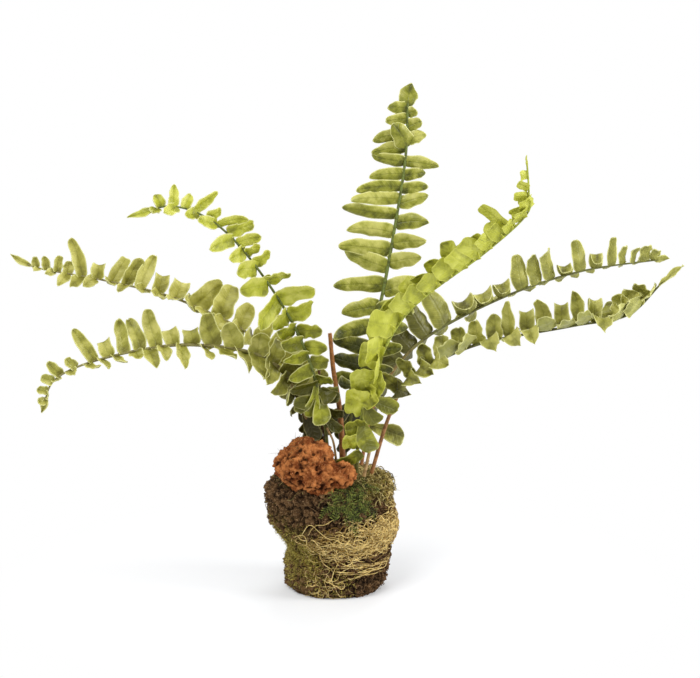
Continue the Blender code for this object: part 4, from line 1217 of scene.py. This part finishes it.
# %% [markdown]
# ## Fronds: leaflets
#
# A leaflet is a thin oblong blade, broad at the foot, curved a little to the frond's tip, with a
# wavy rim. Flat cards with a leaf outline would look like paper. Here each is a net of points with
# real thickness: it is bent along its length, cupped across, and its rim is lifted in waves. Its
# place in the row, length and lean are drawn in the same order as for the frame's plain leaflets,
# so it lies where the plain one does, apart from a few that lean aside near the crown.

# %% Leaflet plan
LEAF_TWIST = math.radians(14)  # how far the leaflets in the rows turn about their own length
# The darkening of leaflets near the soil is painted shade.
CROWDED = 105.0  # leaflets nearer to the soil than this are darker the lower they stand
FRONT = np.array((0, -1, 0.2))  # where loose leaflets look
# Half widths as (share of the length, share of the half width): the edge towards the frond's tip,
# the edge towards its foot, both edges where leaflets join to a ribbon, of one that hangs loose,
# and of the single leaflet at the frond's end.
TIP_EDGE = ((0, 0.8), (0.08, 0.98), (0.2, 1.05), (0.42, 1.02), (0.65, 0.86), (0.83, 0.6),
            (0.94, 0.34), (1, 0.04))
FOOT_EDGE = ((0, 0.65), (0.08, 0.85), (0.22, 0.98), (0.5, 0.96), (0.72, 0.8), (0.88, 0.5),
             (0.96, 0.26), (1, 0.04))
RIBBON_EDGE = ((0, 0.95), (0.3, 1.04), (0.7, 1.0), (0.88, 0.93), (0.96, 0.75), (1, 0.45))
LOOSE_EDGES = (((0, 0.2), (0.3, 0.55), (0.65, 1.0), (0.86, 1.1), (0.96, 0.9), (1, 0.55)),
               ((0, 0.2), (0.3, 0.5), (0.55, 0.85), (0.75, 0.78), (0.92, 0.3), (1, 0.0)))
END_EDGE = ((0, 0.3), (0.2, 0.75), (0.42, 1.0), (0.65, 0.8), (0.85, 0.42), (1, 0.03))
# A rolled leaflet bends by a turn in degrees between two shares of its length, away from its face.
# It is longer than it reaches by the stretch.
NOT_ROLLED = dict(turn=0, between=(0.4, 1.0), stretch=1.0)


def leaf_plan(frond, spine, style):
    """Each leaflet: where its foot is, its row (1 right, -1 left), length, width and angles."""
    chance = random.Random(frond["seed"])
    plan = []
    for name, row in (("left", -1), ("right", 1)):
        shape = frond[name]
        for number in range(shape["feet"][-1][0] + 1):
            foot = read_off(shape["feet"], number)
            rolled = number in shape.get("rolled", ())
            roll = style["roll"][name] if rolled else NOT_ROLLED
            plan.append(dict(
                foot=foot, row=row, turn=LEAF_TWIST, roll=roll,
                blunt=roll.get("blunt", style["blunt"][name]),
                edges=style.get("edges", (TIP_EDGE, FOOT_EDGE)), lap=style["lap"][name],
                length=(read_off(shape["length"], foot) * chance.uniform(0.96, 1.04)
                        * roll["stretch"]),
                width=(read_off(frond["width"], foot) * chance.uniform(0.95, 1.05)
                       * style["wide"][name]),
                lift=math.radians(read_off(shape["lift"], foot) + chance.uniform(-5, 5)),
                sweep=math.radians(read_off(shape["sweep"], foot) + chance.uniform(-4, 4)),
                curl=math.radians(chance.choice((-30, -15, 10, 25, 45))),
            ))
    for foot, tip, width in frond.get("loose", ()):
        tangent = spine.tangent(foot)
        side, up = across_frame(tangent, read_off(frond["face"], foot))
        reach = np.array(tip, float) - spine.point(foot)
        along = unit(reach)
        row = 1 if np.dot(along, side) > 0 else -1
        wide, top = leaf_frame(along, tangent, row)
        plan.append(dict(
            foot=foot, row=row, turn=math.atan2(-np.dot(FRONT, wide), np.dot(FRONT, top)),
            roll=NOT_ROLLED, blunt=(0.6, 1.1), lap=0.0,
            edges=LOOSE_EDGES if foot < CROWDED else (TIP_EDGE, FOOT_EDGE),
            length=np.linalg.norm(reach), width=width * 1.15,
            lift=math.atan2(np.dot(along, up), abs(np.dot(along, side))),
            sweep=math.asin(np.dot(along, tangent)), curl=0.0))
    return plan


def leaf_frame(along, tangent, row):
    """(wide, top) of a leaflet: across it, towards the frond's tip, and out of its upper side."""
    wide = unit(tangent - along * np.dot(tangent, along))
    return wide, np.cross(along, wide) * row


def turn_to_front(wide, top):
    """Turn about its own length that brings a leaflet's nearer side square to the front."""
    front = FRONT * np.sign(np.dot(FRONT, top))
    return math.atan2(-np.dot(front, wide), np.dot(front, top))


# %% One leaflet's net of points
LEAF_STEPS = 17  # along the leaflet
LEAF_COLUMNS = 9  # across it
LEAF_THICKNESS = 0.34
GROOVE_DEPTH = 0.2  # of the groove along the midrib, in millimetres
GROOVE_HALF = 0.16  # half of its width, as a share of the leaflet's half width
even_way = np.linspace(0, 1, LEAF_STEPS)
# The way along a leaflet at each step, closer together at the foot and at the tip.
LEAF_WAY = (even_way + 0.5 - 0.5 * np.cos(np.pi * even_way)) / 2


def leaf_edges(leaf, t, chance):
    """Half widths of a leaflet on its two sides, in millimetres."""
    made = []
    for given in leaf["edges"]:
        edge = np.interp(t, *np.array(given).T)
        blunt = chance.uniform(*leaf["blunt"])
        swell = 1 + 0.08 * np.sin(2 * np.pi * chance.uniform(0.8, 2.2) * t + chance.uniform(0, 6.3))
        made.append(leaf["width"] / 2 * edge ** np.where(t > 0.5, blunt, 1) * swell)
    return made


def leaf_net(leaf, style, foot, side, up, tangent, chance):
    """(step, column, xyz) points of a leaflet's middle sheet, and the direction of its face."""
    out = side * leaf["row"]
    flat = out * math.cos(leaf["lift"]) + up * math.sin(leaf["lift"])
    along = flat * math.cos(leaf["sweep"]) + tangent * math.sin(leaf["sweep"])
    wide, top = leaf_frame(along, tangent, leaf["row"])
    steady = 0.3 if leaf["roll"]["turn"] else 1.0  # rolled leaflets vary less
    turn = turn_to_front(wide, top) if leaf["roll"]["turn"] else leaf["turn"]
    twist = turn + steady * math.radians(chance.uniform(-style["twist"], style["twist"]))
    wide, top = (wide * math.cos(twist) + top * math.sin(twist),
                 top * math.cos(twist) - wide * math.sin(twist))

    t = LEAF_WAY[:, None]
    v = np.linspace(-1, 1, LEAF_COLUMNS)[None, :]
    curl = leaf["curl"] + math.radians(chance.uniform(*style["curl"]))
    roll = math.radians(leaf["roll"]["turn"])
    start, end = leaf["roll"]["between"]
    bent = np.clip((t - start) / (end - start), 0, 1)
    rise = curl * t ** 2 * (0.3 if roll else 1) - roll * bent
    hook = steady * math.radians(chance.uniform(*style["hook"])) * t ** 1.5
    steps = np.diff(t, axis=0, prepend=0) * leaf["length"]
    x = np.cumsum(np.cos(rise) * np.cos(hook) * steps, axis=0)
    y = np.cumsum(np.sin(hook) * steps, axis=0)
    z = np.cumsum(np.sin(rise) * np.cos(hook) * steps, axis=0)

    tip_edge, foot_edge = leaf_edges(leaf, t, chance)
    half = np.where(v > 0, tip_edge, foot_edge)
    size = leaf["width"] / 10
    waves = [np.sin(2 * np.pi * chance.uniform(0.8, 1.9) * t + chance.uniform(0, 6.3))
             + 0.4 * np.sin(2 * np.pi * chance.uniform(2.2, 3.6) * t + chance.uniform(0, 6.3))
             for _ in range(2)]
    rim = np.where(v > 0, waves[0], waves[1]) * style["wave"] * size * np.minimum(1, t * 3)
    cup = (style["cup"] + 0.03 * roll) * chance.uniform(0.4, 1.3)
    bumps = 0.35 * np.sin(2 * np.pi * 1.7 * t + chance.uniform(0, 6.3)) * np.cos(1.5 * v + waves[0])
    height = (cup * half * v ** 2 + rim * np.abs(v) ** 2 + size * bumps
              - GROOVE_DEPTH * np.exp(-(v / GROOVE_HALF) ** 2))
    across = v * half * (1 - 0.3 * min(1.0, abs(cup)) ** 2)

    x = x - across * np.sin(hook) - height * np.sin(rise)
    y = y + across * np.cos(hook)
    z = z + height * np.cos(rise)
    net = foot + x[..., None] * along + y[..., None] * wide + z[..., None] * top
    face = unit(np.cross(np.gradient(net, axis=0), np.gradient(net, axis=1)))
    aim = top * np.cos(rise)[..., None] - along * np.sin(rise)[..., None]
    return net, face * np.sign(np.sum(face * aim, axis=-1, keepdims=True))


# %% Faces of a leaflet
def leaf_faces():
    """Quads of the upper sheet, the lower sheet and the rim between them, for one leaflet."""
    grid = np.arange(LEAF_STEPS * LEAF_COLUMNS).reshape(LEAF_STEPS, LEAF_COLUMNS)
    upper = np.stack([grid[:-1, :-1], grid[1:, :-1], grid[1:, 1:], grid[:-1, 1:]], axis=-1)
    upper = upper.reshape(-1, 4)
    below = LEAF_STEPS * LEAF_COLUMNS
    lower = upper[:, ::-1] + below
    edge = np.concatenate([grid[:, 0], grid[-1, 1:], grid[-2::-1, -1], grid[0, -2:0:-1]])
    after = np.roll(edge, -1)
    rim = np.stack([after, edge, edge + below, after + below], axis=-1)
    return np.concatenate([upper, lower, rim])


LEAF_FACES = leaf_faces()
LEAF_GRID = np.meshgrid(LEAF_WAY, np.linspace(0, 1, LEAF_COLUMNS), indexing="ij")
SHEET_UV = np.stack([share.ravel() for share in LEAF_GRID], axis=1)  # along and across a leaflet
print("faces in one leaflet:", len(LEAF_FACES))

# %% [markdown]
# ## Leaf finish
#
# A leaflet is mottled, darker by its midrib and foot, with fine side veins, a thin pale rim and a
# duller, greyer underside. A painted picture for each would be much work, so nodes make all of it
# from where a point lies. Each frond keeps the way along and across a leaflet in the UV layer
# called leaf, its length and width in size, and in shade a tone of its own, lowered by painted
# shade near the crown, and which sheet is the underside. One node group serves all seven fronds,
# and each frond has its own greens, which are partly painted light.

# %% Leaf colour node group
def leaf_group():
    group = bpy.data.node_groups.new("leaf_colouring", "ShaderNodeTree")
    for name in ("Dark", "Middle", "Light", "Rim", "Under"):
        add_socket(group, name, "Color")
    add_socket(group, "Colour", "Color", into=False)
    for name in ("Height", "Roughness"):
        add_socket(group, name, "Float", into=False)
    given = group.nodes.new("NodeGroupInput").outputs
    result = group.nodes.new("NodeGroupOutput").inputs
    along, across = layer_values(group, "leaf")
    shade, under = layer_values(group, "shade")

    def maths(operation, *values):
        inputs = {f"_{number}": value for number, value in enumerate(values)}
        return node(group, "Math", operation, **inputs).outputs[0]

    place = node(group, "TexCoord").outputs["Object"]
    mottle = node(group, "TexNoise", Vector=place, Scale=170.0, Detail=2.0, Roughness=0.5,
                  Distortion=0.3).outputs["Fac"]
    fine = node(group, "TexNoise", Vector=place, Scale=900.0, Detail=3.0).outputs["Fac"]
    length, width = layer_values(group, "size")
    centred = maths("ABSOLUTE", maths("MULTIPLY_ADD", across, 2.0, -1.0))
    along_in_veins = maths("MULTIPLY", along, maths("MULTIPLY", length, 9.0))
    vein_way = maths("MULTIPLY_ADD", centred, -1.3, along_in_veins)
    vein = maths("ABSOLUTE", maths("SUBTRACT", maths("FRACT", vein_way), 0.5))
    veins = maths("SUBTRACT", 1.0, ramp(group, vein, 0.02, 0.2))
    midrib = maths("SUBTRACT", 1.0, ramp(group, centred, 0.02, 0.14))
    to_side = maths("MULTIPLY", maths("SUBTRACT", 1.0, centred), width)
    to_tip = maths("MULTIPLY", maths("SUBTRACT", 1.0, along), maths("MULTIPLY", length, 5.0))
    rim = maths("SUBTRACT", 1.0, ramp(group, maths("MINIMUM", to_side, to_tip), 0.04, 0.17))

    # How light a point is. The three greens are mixed by it.
    tone = maths("MULTIPLY_ADD", mottle, 0.62, 0.07)
    tone = maths("MULTIPLY_ADD", centred, 0.10, tone)
    tone = maths("MULTIPLY_ADD", shade, 0.15, tone)
    tone = maths("MULTIPLY_ADD", across, 0.13, tone)
    tone = maths("MULTIPLY_ADD", ramp(group, along, 0.0, 0.5), 0.14, tone)
    tone = maths("MULTIPLY_ADD", fine, 0.08, tone)
    tone = maths("MULTIPLY_ADD", ramp(group, along, 0.5, 1.0), -0.07, tone)
    colour = mix_colours(group, ramp(group, tone, 0.46, 0.70), given["Dark"], given["Middle"])
    colour = mix_colours(group, ramp(group, tone, 0.64, 0.88), colour, given["Light"])
    colour = mix_colours(group, maths("MULTIPLY", veins, 0.07), colour, given["Light"])
    colour = mix_colours(group, maths("MULTIPLY", midrib, 0.12), colour, given["Dark"])
    colour = mix_colours(group, maths("MULTIPLY", under, 0.45), colour, given["Under"])
    colour = mix_colours(group, maths("MULTIPLY", rim, 0.8), colour, given["Rim"])
    # Mostly painted shade near the crown: the lower a leaflet's shade value, the more its colour
    # turns to this brownish dark; the brown also stands for older leaves there.
    shaded = mix_colours(group, 1.0, colour, rgba(0.30, 0.27, 0.22), "MULTIPLY")
    colour = mix_colours(group, ramp(group, shade, -1.7, 0.1), shaded, colour)
    link(group, colour, result["Colour"])
    height = maths("MULTIPLY_ADD", veins, 0.3, maths("MULTIPLY", midrib, -0.6))
    height = maths("MULTIPLY_ADD", mottle, 2.2, height)
    link(group, maths("MULTIPLY_ADD", fine, 0.3, height), result["Height"])
    link(group, maths("MULTIPLY_ADD", fine, 0.25, 0.28), result["Roughness"])
    return group


LEAF_GROUP = leaf_group()
print("leaf colours:", [s.name for s in LEAF_GROUP.interface.items_tree if s.in_out == "INPUT"])


# %% Leaf and stalk materials
def leaf_finish(name, dark, middle, light, under, rim):
    made, tree, shader = new_finish(name, 0.45)
    group = tree.nodes.new("ShaderNodeGroup")
    group.node_tree = LEAF_GROUP
    for socket, colour in (("Dark", dark), ("Middle", middle), ("Light", light),
                           ("Under", under), ("Rim", rim)):
        group.inputs[socket].default_value = rgba(*colour)
    link(tree, group.outputs["Colour"], shader.inputs["Base Color"])
    link(tree, group.outputs["Roughness"], shader.inputs["Roughness"])
    shader.inputs["Specular IOR Level"].default_value = 0.28
    add_bump(tree, shader, group.outputs["Height"], 0.0006, 0.5)
    return made


def stalk_finish(name, foot, top):
    """A stalk that changes colour along its length and has small darker patches."""
    made, tree, shader = new_finish(name, 0.5)
    along, _ = layer_values(tree, "leaf")
    colour = mix_colours(tree, ramp(tree, along, 0.05, 0.4), rgba(*foot), rgba(*top))
    place = node(tree, "TexCoord").outputs["Object"]
    patches = node(tree, "TexNoise", Vector=place, Scale=420.0, Detail=3.0).outputs["Fac"]
    darker = mix_colours(tree, 1.0, colour, rgba(0.5, 0.45, 0.4), "MULTIPLY")
    link(tree, mix_colours(tree, ramp(tree, patches, 0.4, 0.7), colour, darker),
         shader.inputs["Base Color"])
    shader.inputs["Specular IOR Level"].default_value = 0.3
    add_bump(tree, shader, patches, 0.0003, 0.5)
    return made


# Partly painted light: each frond's greens are lighter or darker with the light on it, and the
# brightest, as on the front right frond, stand for light shining through the leaflets.
GREENS = {  # dark, middle, light, underside
    "frond_left_low": ((0.138, 0.129, 0.013), (0.292, 0.284, 0.043), (0.484, 0.456, 0.121),
                       (0.324, 0.324, 0.09)),
    "frond_left_mid": ((0.16, 0.15, 0.016), (0.331, 0.313, 0.051), (0.524, 0.495, 0.136),
                       (0.353, 0.353, 0.102)),
    "frond_left_high": ((0.162, 0.17, 0.01), (0.378, 0.396, 0.026), (0.552, 0.552, 0.101),
                        (0.396, 0.432, 0.09)),
    "frond_centre": ((0.066, 0.074, 0.007), (0.232, 0.24, 0.023), (0.46, 0.445, 0.11),
                     (0.279, 0.295, 0.074)),
    "frond_front_right": ((0.165, 0.172, 0.013), (0.42, 0.435, 0.036), (0.62, 0.63, 0.12),
                          (0.427, 0.446, 0.048)),
    "frond_right_mid": ((0.077, 0.072, 0.009), (0.235, 0.23, 0.034), (0.44, 0.418, 0.099),
                        (0.22, 0.22, 0.039)),
    "frond_right_low": ((0.1, 0.095, 0.012), (0.275, 0.27, 0.039), (0.475, 0.454, 0.108),
                        (0.33, 0.34, 0.11)),
}
RIM = (0.66, 0.65, 0.26)
RIBBON_RIM = (0.51, 0.52, 0.08)  # leaflets that join to a ribbon show no pale rim between them
print("fronds with greens of their own:", len(GREENS))

# %% [markdown]
# ## Fronds: putting them together
#
# Each frond's stalk and leaflets become one mesh with two finishes. How much leaflets curl, cup,
# twist and wave differs from frond to frond: the left and right ones are wavy and twisted, and on
# the front right one, where the leaflets join to a ribbon, they are nearly flat.

# %% How the leaflets of each frond differ
# All angles in degrees: curl bends a leaflet along its length, twist turns it about that length,
# hook bends it within its own plane. cup raises both rims, and wave is the rim's waves in mm.
# wide scales a row's widths, blunt squares a leaflet's end the lower it is, lap is how far in mm
# the feet reach over the stalk, and crown_shade is how much painted shade leaflets get towards the
# soil, from reach mm up the frond down. loose is how much painted shade the loose ones get.
BENT_BACK = dict(turn=150, between=(0.52, 0.74), stretch=1.36)
HANGING = dict(turn=142, between=(0.4, 0.64), stretch=1.12, blunt=(1.5, 2.2))
STYLES = {
    "frond_left_low": dict(
        curl=(-25, 30), cup=0.3, wave=0.65, twist=24, hook=(-15, 20), crown_shade=2.2, loose=2.6,
        wide=dict(left=1.1, right=1.15), lap=dict(left=0.0, right=1.5),
        blunt=dict(left=(0.9, 1.5), right=(0.3, 0.8)), roll=dict(right=BENT_BACK)),
    "frond_left_mid": dict(
        curl=(-25, 30), cup=0.3, wave=0.65, twist=24, hook=(-20, 15), crown_shade=2.2, loose=2.6,
        wide=dict(left=1.1, right=1.15), lap=dict(left=0.0, right=1.0),
        blunt=dict(left=(0.8, 1.4), right=(0.25, 0.7)), roll=dict(right=BENT_BACK)),
    "frond_left_high": dict(
        curl=(-35, 20), cup=0.2, wave=0.7, twist=20, hook=(-20, 10), crown_shade=3.6,
        reach=118, loose=2.6,
        wide=dict(left=1.1, right=1.1), lap=dict(left=0.0, right=0.0),
        blunt=dict(left=(0.4, 1.1), right=(0.4, 1.1))),
    "frond_centre": dict(
        curl=(-45, -5), cup=-0.25, wave=0.6, twist=14, hook=(-30, 2), crown_shade=2.6,
        reach=130, loose=2.6,
        wide=dict(left=1.0, right=1.0), lap=dict(left=0.0, right=0.0),
        blunt=dict(left=(0.6, 1.15), right=(0.6, 1.15))),
    "frond_front_right": dict(
        curl=(-15, 15), cup=0.12, wave=0.22, twist=7, hook=(-8, 8), crown_shade=1.1, loose=2.6,
        wide=dict(left=1.12, right=1.05), lap=dict(left=2.5, right=2.0),
        blunt=dict(left=(0.3, 0.9), right=(0.3, 0.9)), edges=(RIBBON_EDGE, RIBBON_EDGE)),
    "frond_right_mid": dict(
        curl=(-30, 20), cup=0.3, wave=0.7, twist=14, hook=(-10, 15), crown_shade=2.6,
        reach=160, loose=1.0, wide=dict(left=1.0, right=1.12), lap=dict(left=0.0, right=0.0),
        blunt=dict(left=(0.4, 0.8), right=(0.25, 0.7)), roll=dict(right=BENT_BACK)),
    "frond_right_low": dict(
        curl=(-30, 30), cup=0.24, wave=1.0, twist=16, hook=(-15, 20), crown_shade=2.4,
        loose=0.8, wide=dict(left=1.1, right=1.35), lap=dict(left=0.0, right=0.0),
        blunt=dict(left=(0.4, 0.9), right=(0.4, 0.9)),
        roll=dict(left=BENT_BACK, right=HANGING)),
}

# %% Stalk of a frond
STALK_SIDES = 10
STALK_STEP = 2.0  # mm between rings
IN_SOIL = 6.0  # mm of stalk below the foot of its spine
STALK_RADII = {"frond_centre": (1.35, 0.75), "frond_left_low": (1.7, 0.45)}
USUAL_RADII = (1.15, 0.45)


def stalk_rings(frond, spine, radii):
    """(step, side, xyz) points of the stalk, and for each the way along and round it."""
    last = spine.length - frond["end"][0] * 0.9
    stops = np.linspace(-IN_SOIL, last, round((last + IN_SOIL) / STALK_STEP))
    turn = 2 * np.pi * np.arange(STALK_SIDES) / STALK_SIDES
    rings = []
    for stop in stops:
        centre = spine.point(max(stop, 0)) + spine.tangent(0) * min(stop, 0)
        tangent = spine.tangent(max(stop, 0))
        side, up = across_frame(tangent, read_off(frond["face"], stop))
        share = max(0, stop) / spine.length
        radius = radii[0] + (radii[1] - radii[0]) * share
        rib = 1 + 0.25 * np.clip(np.sin(turn), 0, 1)  # a raised rib on the face side
        ring = np.cos(turn)[:, None] * side + (np.sin(turn) * rib)[:, None] * up
        rings.append(centre + ring * radius)
    rings = np.array(rings)[:, ::-1]
    way = np.broadcast_to((stops / spine.length)[:, None], rings.shape[:2])
    round_it = np.broadcast_to((turn / (2 * np.pi))[None], rings.shape[:2])
    return rings, np.stack([way.ravel(), round_it.ravel()], axis=1)


def tube_faces(steps, sides):
    """Quads round a tube of rings, and triangles that close its two ends."""
    ring, after = np.arange(sides), (np.arange(sides) + 1) % sides
    low = np.arange(steps - 1)[:, None] * sides
    quads = np.stack([low + ring, low + after, low + after + sides, low + ring + sides], -1)
    ends = [[0, i + 1, i] for i in range(1, sides - 1)]
    last = (steps - 1) * sides
    ends += [[last, last + i, last + i + 1] for i in range(1, sides - 1)]
    return quads.reshape(-1, 4), np.array(ends)


# %% All leaflets of a frond
ABOVE_STALK = 1.15  # mm, how far over the stalk's middle lapping leaflets lie


def leaf_nets(frond, style, spine, chance):
    """The net of each leaflet, the one at the end last, and how much painted shade it gets near the
    crown.
    """
    for leaf in leaf_plan(frond, spine, style):
        tangent = spine.tangent(leaf["foot"])
        side, up = across_frame(tangent, read_off(frond["face"], leaf["foot"]))
        loose = leaf["edges"] is LOOSE_EDGES
        near = max(0.0, 1 - leaf["foot"] / style.get("reach", CROWDED))
        crown_shade = near * style["loose" if loose else "crown_shade"]
        fade = np.clip((130 - leaf["foot"]) / 60, 0.15, 1)  # less where the stalk is thinner
        foot = spine.point(leaf["foot"]) - side * leaf["row"] * leaf["lap"] * fade
        if leaf["lap"]:
            foot = foot + up * ABOVE_STALK * fade
        yield *leaf_net(leaf, style, foot, side, up, tangent, chance), crown_shade
    end_length, end_width = frond["end"]
    tangent = spine.tangent(spine.length - end_length)
    side, up = across_frame(tangent, frond["face"][-1][1])
    leaf = dict(row=1, width=end_width * 1.15, length=end_length + 1, lift=0, sweep=0, turn=0,
                roll=NOT_ROLLED, curl=0, blunt=(0.9, 1.1), edges=(END_EDGE, END_EDGE))
    foot = spine.point(spine.length - end_length - 1)
    style = dict(style, twist=0, curl=(-5, 5))
    yield *leaf_net(leaf, style, foot, tangent, up, -side, chance), 0.0


# %% Build the fronds
USUAL_LEAF = (25.0, 10.0)  # length and width that a leaflet's size is compared with


def build_frond(name, frond, style):
    """One mesh of a stalk and its leaflets, each leaflet with an upper and an under sheet."""
    spine = Spine(frond["spine"])
    chance = random.Random(frond["seed"] + 100)
    rings, stalk_uv = stalk_rings(frond, spine, STALK_RADII.get(name, USUAL_RADII))
    quads, tris = tube_faces(*rings.shape[:2])
    points, faces = [rings.reshape(-1, 3)], [quads]
    finish_of = [np.ones(len(quads))]  # 0 for a leaf, 1 for the stalk
    unused = np.zeros((rings.shape[0] * rings.shape[1], 2))
    leaf_uv, shade_uv, size_uv = [stalk_uv], [unused], [unused]
    count = len(points[0])
    for net, face, crown_shade in leaf_nets(frond, style, spine, chance):
        points += [(net + face * LEAF_THICKNESS / 2).reshape(-1, 3),
                   (net - face * LEAF_THICKNESS / 2).reshape(-1, 3)]
        made = LEAF_FACES + count
        if np.dot(np.cross(net[1, 0] - net[0, 0], net[0, 1] - net[0, 0]), face[0, 0]) < 0:
            made = made[:, ::-1]
        faces.append(made)
        finish_of.append(np.zeros(len(LEAF_FACES)))
        # A random tone of the leaflet's own, lowered near the crown by painted shade.
        shade = chance.uniform(0, 1) - crown_shade
        leaf_uv += [SHEET_UV, SHEET_UV]
        for under in (0.0, 1.0):
            shade_uv.append(np.tile([shade, under], (len(SHEET_UV), 1)))
        length = np.linalg.norm(np.diff(net[:, LEAF_COLUMNS // 2], axis=0), axis=1).sum()
        width = np.linalg.norm(net[:, 0] - net[:, -1], axis=1).max()
        size_uv.append(np.tile([length / USUAL_LEAF[0], width / USUAL_LEAF[1]],
                               (2 * len(SHEET_UV), 1)))
        count += 2 * len(SHEET_UV)
    rim = RIBBON_RIM if name == "frond_front_right" else RIM
    finishes = [leaf_finish(f"{name}_leaf", *GREENS[name], rim),
                stalk_finish(f"{name}_stalk", *STALK_COLOURS[name])]
    piece = make_piece(f"{name}_leaves", np.concatenate(points), np.concatenate(faces), finishes,
                       tris, layers={"leaf": np.concatenate(leaf_uv),
                                     "shade": np.concatenate(shade_uv),
                                     "size": np.concatenate(size_uv)},
                       finish_of=np.concatenate([*finish_of, np.ones(len(tris))]), sharp=70)
    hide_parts(name)


BROWN_FOOT = (0.38, 0.17, 0.06)
GREEN_FOOT = (0.12, 0.12, 0.02)
OLIVE = (0.115, 0.12, 0.025)
STALK_COLOURS = {  # at the foot, and further up
    "frond_left_low": ((0.32, 0.19, 0.07), (0.24, 0.22, 0.07)),
    "frond_left_mid": (GREEN_FOOT, (0.30, 0.27, 0.10)),
    "frond_left_high": (GREEN_FOOT, (0.14, 0.175, 0.035)),
    "frond_centre": (GREEN_FOOT, (0.13, 0.165, 0.03)),
    "frond_front_right": (GREEN_FOOT, (0.40, 0.45, 0.06)),
    "frond_right_mid": (BROWN_FOOT, OLIVE),
    "frond_right_low": (BROWN_FOOT, OLIVE),
}
for name, frond in FRONDS.items():
    build_frond(name, frond, STYLES[name])

# %% [markdown]
# ## Dry stalks
#
# Four old stalks have lost their leaflets. They are round and slightly knobbly, and are broken off
# at the top. A plain cone would look turned on a lathe, so the radius swells and shrinks a little
# along the way and the end is ragged.

# %% Dry stalks
DRY_SIDES = 12
DRY_STEP = 1.5  # mm between rings
DRY_STALKS = {
    "dry_stalk_tall": dict(spine=((6, 0, 69), (4, -1, 108), (0, -3, 136), (-2, -4, 158)),
                           radii=(2.0, 1.2), foot=(0.24, 0.09, 0.025), top=(0.36, 0.145, 0.04)),
    "dry_stalk_thin": dict(spine=((-2, 7, 69), (-5, 8, 89), (-8, 9, 112), (-9, 9, 144)),
                           radii=(0.9, 0.8), foot=(0.10, 0.045, 0.02), top=(0.12, 0.05, 0.02)),
    "dry_stalk_short": dict(spine=((17, -15, 67), (20, -14, 80), (23, -12, 94)),
                            radii=(1.2, 0.9), foot=(0.34, 0.20, 0.075), top=(0.42, 0.27, 0.11)),
    "dry_stalk_curved": dict(spine=((3, -7, 67), (2, -9, 78), (0, -11, 93), (-4, -11, 102)),
                             radii=(0.8, 0.6), foot=(0.30, 0.17, 0.06), top=(0.36, 0.22, 0.08)),
}


def build_dry_stalk(name, stalk, chance):
    """A knobbly tube along its spine with a ragged upper end."""
    spine = Spine(stalk["spine"])
    steps = int(spine.length / DRY_STEP)
    turn = 2 * np.pi * np.arange(DRY_SIDES) / DRY_SIDES
    low, high = stalk["radii"]
    rings = []
    for number in range(steps + 1):
        share = number / steps
        side, up = across_frame(spine.tangent(share * spine.length), np.array([0, -1.0, 0]))
        knobs = 1 + 0.10 * noise.noise(Vector((share * 22, low * 5, 0)))
        radius = (low + (high - low) * share) * knobs
        ring = spine.point(share * spine.length) + (
            np.cos(turn)[:, None] * side + np.sin(turn)[:, None] * up) * radius
        if number == steps:
            ring = ring + spine.tangent(spine.length) * np.array(
                [chance.uniform(-0.8, 0.8) for _ in turn])[:, None]
        rings.append(ring)
    rings = np.array(rings)[:, ::-1]
    quads, tris = tube_faces(*rings.shape[:2])
    way = np.broadcast_to(np.linspace(0, 1, steps + 1)[:, None], rings.shape[:2])
    layer = np.stack([way.ravel(), np.tile(turn / (2 * np.pi), steps + 1)], axis=1)
    piece = make_piece(f"{name}_bark", rings.reshape(-1, 3), quads,
                       [stalk_finish(f"{name}_finish", stalk["foot"], stalk["top"])], tris,
                       layers={"leaf": layer}, sharp=50)
    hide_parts(name)


for name, stalk in DRY_STALKS.items():
    build_dry_stalk(name, stalk, random.Random(len(name)))

# %% [markdown]
# ## Measure and finish
#
# The detailed plant has to keep the frame's size. Both boxes are written out side by side, so that
# they can be compared after each change.

# %% Size and finish
visual_box = [list(corner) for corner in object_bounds()]
print("visual box in mm:", [[round(c / MM, 1) for c in corner] for corner in visual_box])
